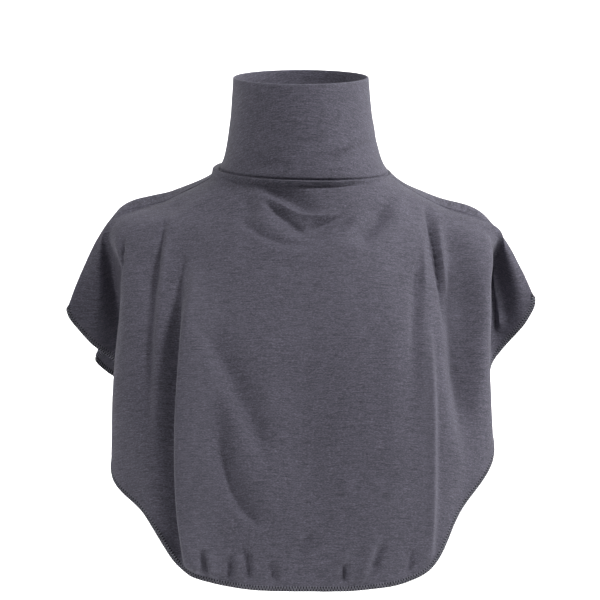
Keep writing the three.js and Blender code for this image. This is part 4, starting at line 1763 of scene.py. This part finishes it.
def every_stitch(line: Line, closed: bool) -> Line:
    """A line with its directions, at the middle of each stitch.

    Args:
        line: points, directions away from the cloth, and normals.
        closed: whether the line returns to its start.

    Returns:
        The same three at the stitches.
    """
    parts = [np.concatenate([part, part[:1]]) for part in line] if closed else line
    length = along(parts[0][None], 1)[0]
    count = round(length[-1] / STITCH_PITCH)
    stops = (np.arange(count) + 0.5) * length[-1] / count
    middle, across, up = (resample(stops, length, part) for part in parts)
    tangent = unit(np.gradient(middle, axis=0))
    across = unit(without(across, tangent))
    return middle, across, unit(without(without(up, tangent), across))


@dataclass(frozen=True)
class SoftLight:
    """A soft light of the studio.

    Attributes:
        name: its name.
        place: where it hangs, in metres.
        size: its width and height.
        power: its power in watts.
        aim: where it points.
    """

    name: str
    place: tuple[float, float, float]
    size: tuple[float, float]
    power: float
    aim: tuple[float, float, float] = COVER_MIDDLE

    def hang(self) -> None:
        """Hangs the light."""
        lamp = bpy.data.lights.new(self.name, "AREA")
        lamp.shape = "RECTANGLE"
        lamp.size, lamp.size_y = self.size
        lamp.energy = self.power
        holder = link(self.name, lamp)
        holder.location = self.place
        heading = Vector(self.aim) - Vector(self.place)
        holder.rotation_euler = heading.to_track_quat("-Z", "Y").to_euler()


class Studio:
    """Plain pale floor and backdrop, soft lights, and the camera of the photograph."""

    FLOOR = -0.45
    HALF_WIDTH = 4.0
    SWEEP_START = 1.6
    SWEEP_RADIUS = 0.9
    SWEEP_STEPS = 14
    TOP = 3.4
    DISTANCE = 1.8
    ELEVATION = math.radians(6)
    SENSOR = 36
    LENS = 127.06
    SURROUNDINGS = 0.12
    LIGHTS = (
        SoftLight("key", (1.24, -0.96, 1.3), (0.5, 0.5), 45),
        SoftLight("fill", (-1.1, -1.3, 0.9), (0.5, 0.5), 14.5),
        SoftLight("right_edge", (1.81, 0.32, 0.38), (0.4, 0.4), 25),
        SoftLight("left_edge", (-1.72, 0.63, 0.38), (0.4, 0.4), 10),
        SoftLight("top", (0.2, 0.85, 1.5), (0.6, 0.6), 10),
        SoftLight("wash", (0.0, 1.0, 1.2), (2.4, 0.6), 75, aim=(0, 2.5, 0.1)),
    )

    def build(self) -> None:
        """Builds the studio."""
        self.backdrop()
        for light in self.LIGHTS:
            light.hang()
        self.world()
        self.camera()
        bpy.context.scene.view_settings.view_transform = "Standard"

    def backdrop(self) -> None:
        """Lays the floor, which curves up into the backdrop."""
        radius = self.SWEEP_RADIUS
        profile = [(-0.5, 0.0), (self.SWEEP_START, 0.0)]
        for turn in np.linspace(0.1, math.pi / 2, self.SWEEP_STEPS):
            profile.append((self.SWEEP_START + radius * math.sin(turn), radius - radius * math.cos(turn)))
        profile.append((self.SWEEP_START + radius, self.TOP))
        sides = (-self.HALF_WIDTH, self.HALF_WIDTH)
        points = [(x, y, self.FLOOR + z) for y, z in profile for x in sides]
        quads = [(2 * k, 2 * k + 1, 2 * k + 3, 2 * k + 2) for k in range(len(profile) - 1)]
        mesh = bpy.data.meshes.new("backdrop")
        mesh.from_pydata(points, [], quads)
        mesh.shade_smooth()
        paper = Paint("backdrop_paper")
        tone = paper.map_range(paper.noise(paper.place, 40.0, 2.0), *NOISE_RANGE, 0.9, 0.92)
        colour = paper.node("ShaderNodeCombineColor", {0: tone, 1: tone, 2: tone}).outputs[0]
        mesh.materials.append(paper.shade({"Base Color": colour, "Roughness": 0.9}))
        sweep = link("backdrop", mesh)

    def world(self) -> None:
        """Fills the surroundings with even pale light."""
        world = bpy.data.worlds.new("studio")
        world.use_nodes = True
        background = world.node_tree.nodes["Background"]
        background.inputs["Color"].default_value = (1, 1, 1, 1)
        background.inputs["Strength"].default_value = self.SURROUNDINGS
        bpy.context.scene.world = world

    def camera(self) -> None:
        """Sets the camera at the photograph's angle."""
        camera = bpy.data.cameras.new("camera")
        camera.sensor_width = self.SENSOR
        camera.lens = self.LENS
        holder = link("camera", camera)
        back = Vector((0, -math.cos(self.ELEVATION), math.sin(self.ELEVATION)))
        holder.location = Vector(COVER_MIDDLE) + back * self.DISTANCE
        holder.rotation_euler = (-back).to_track_quat("-Z", "Y").to_euler()
        bpy.context.scene.camera = holder


class Slot(Enum):
    """Material slots of the record."""

    JERSEY = "jersey"
    SEAM = "inside_seam"
    THREAD = "overlock_thread"


def settle(piece: bpy.types.Object, material: bpy.types.Material, slot: Slot, *nodes: str) -> None:
    """Paints a piece, puts it on its body, hides the CAD nodes that it replaces and logs its faces.

    Args:
        piece: the piece.
        material: its material.
        slot: the record's slot for its finish; not used.
        nodes: CAD nodes that it replaces.
    """
    piece.data.materials.clear()
    piece.data.materials.append(material)
    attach(piece, BODY)
    if nodes:
        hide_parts(*nodes)
    log.info("%s: %d faces", piece.name, len(piece.data.polygons))


def main() -> None:
    """Builds the neck cover, piece by piece, and its studio."""
    logging.basicConfig(level=logging.INFO, format="%(name)s %(message)s")
    Studio().build()
    finishes = Finishes()
    cape = Cape()
    collar = Collar(cape)
    front = Panel(
        "front_cloth", "front_panel", start=-SEAM_ROW, end=SEAM_ROW, columns=300, spacing=(0.5, 1.7, 3.1),
        folds=FRONT_FOLDS + FRONT_CREASES, middle=0.0, ridge=2.3, crowded=(-3.2, 3.2),
    )
    back = Panel(
        "back_cloth", "back_panel", start=SEAM_ROW, end=RING_SIZE - SEAM_ROW, columns=220,
        spacing=(0.5, 2.2, 3.0), folds=BACK_FOLDS, middle=BACK_ROW, ridge=0.6,
    )
    collar_cloth = collar.build()
    settle(collar_cloth, finishes.collar, Slot.JERSEY, "collar")
    front_cloth = front.build(cape)
    settle(front_cloth, finishes.jersey, Slot.JERSEY, front.node)
    back_cloth = back.build(cape)
    settle(back_cloth, finishes.jersey, Slot.JERSEY, back.node)

    stitches = StitchTree()

    def overlock(name: str, line: Line, stitch: Stitch, seed: int, closed: bool) -> bpy.types.Object:
        """Sews stitches along a line and settles them.

        Args:
            name: name of the piece.
            line: points, directions out of the edge and directions up from the cloth.
            stitch: sizes of a stitch.
            seed: seed of its unevenness.
            closed: whether the line returns to its start.

        Returns:
            The piece.
        """
        sewn = stitches.sew(name, every_stitch(line, closed), stitch, seed, finishes.thread)
        settle(sewn, finishes.thread, Slot.THREAD)
        return sewn

    for before, after, side in ((front, back, "left"), (back, front, "right")):
        seam = ShoulderSeam(f"{side}_seam_strip", f"{side}_shoulder_seam")
        strip = seam.build(before.edges, after.edges)
        settle(strip, finishes.seam, Slot.SEAM, seam.node)
        for number, edge in enumerate(seam.edges, start=1):
            name = f"{side}_seam_overlock_{number}"
            overlock(name, edge, stitches.INSIDE, number, closed=False)
    neck = overlock("neck_seam_overlock", collar.allowance_line(), stitches.NECK, 5, closed=True)

    edging = HemEdging()
    line = edging.line([front, back])
    edge = edging.build(line)
    # The edging gets the nearly black core colour, a painted shade between the stitches.
    settle(edge, finishes.core, Slot.THREAD, "hem_edging")
    hem = overlock("hem_overlock", line, stitches.HEM, 9, closed=True)


if __name__ == "__main__":
    main()
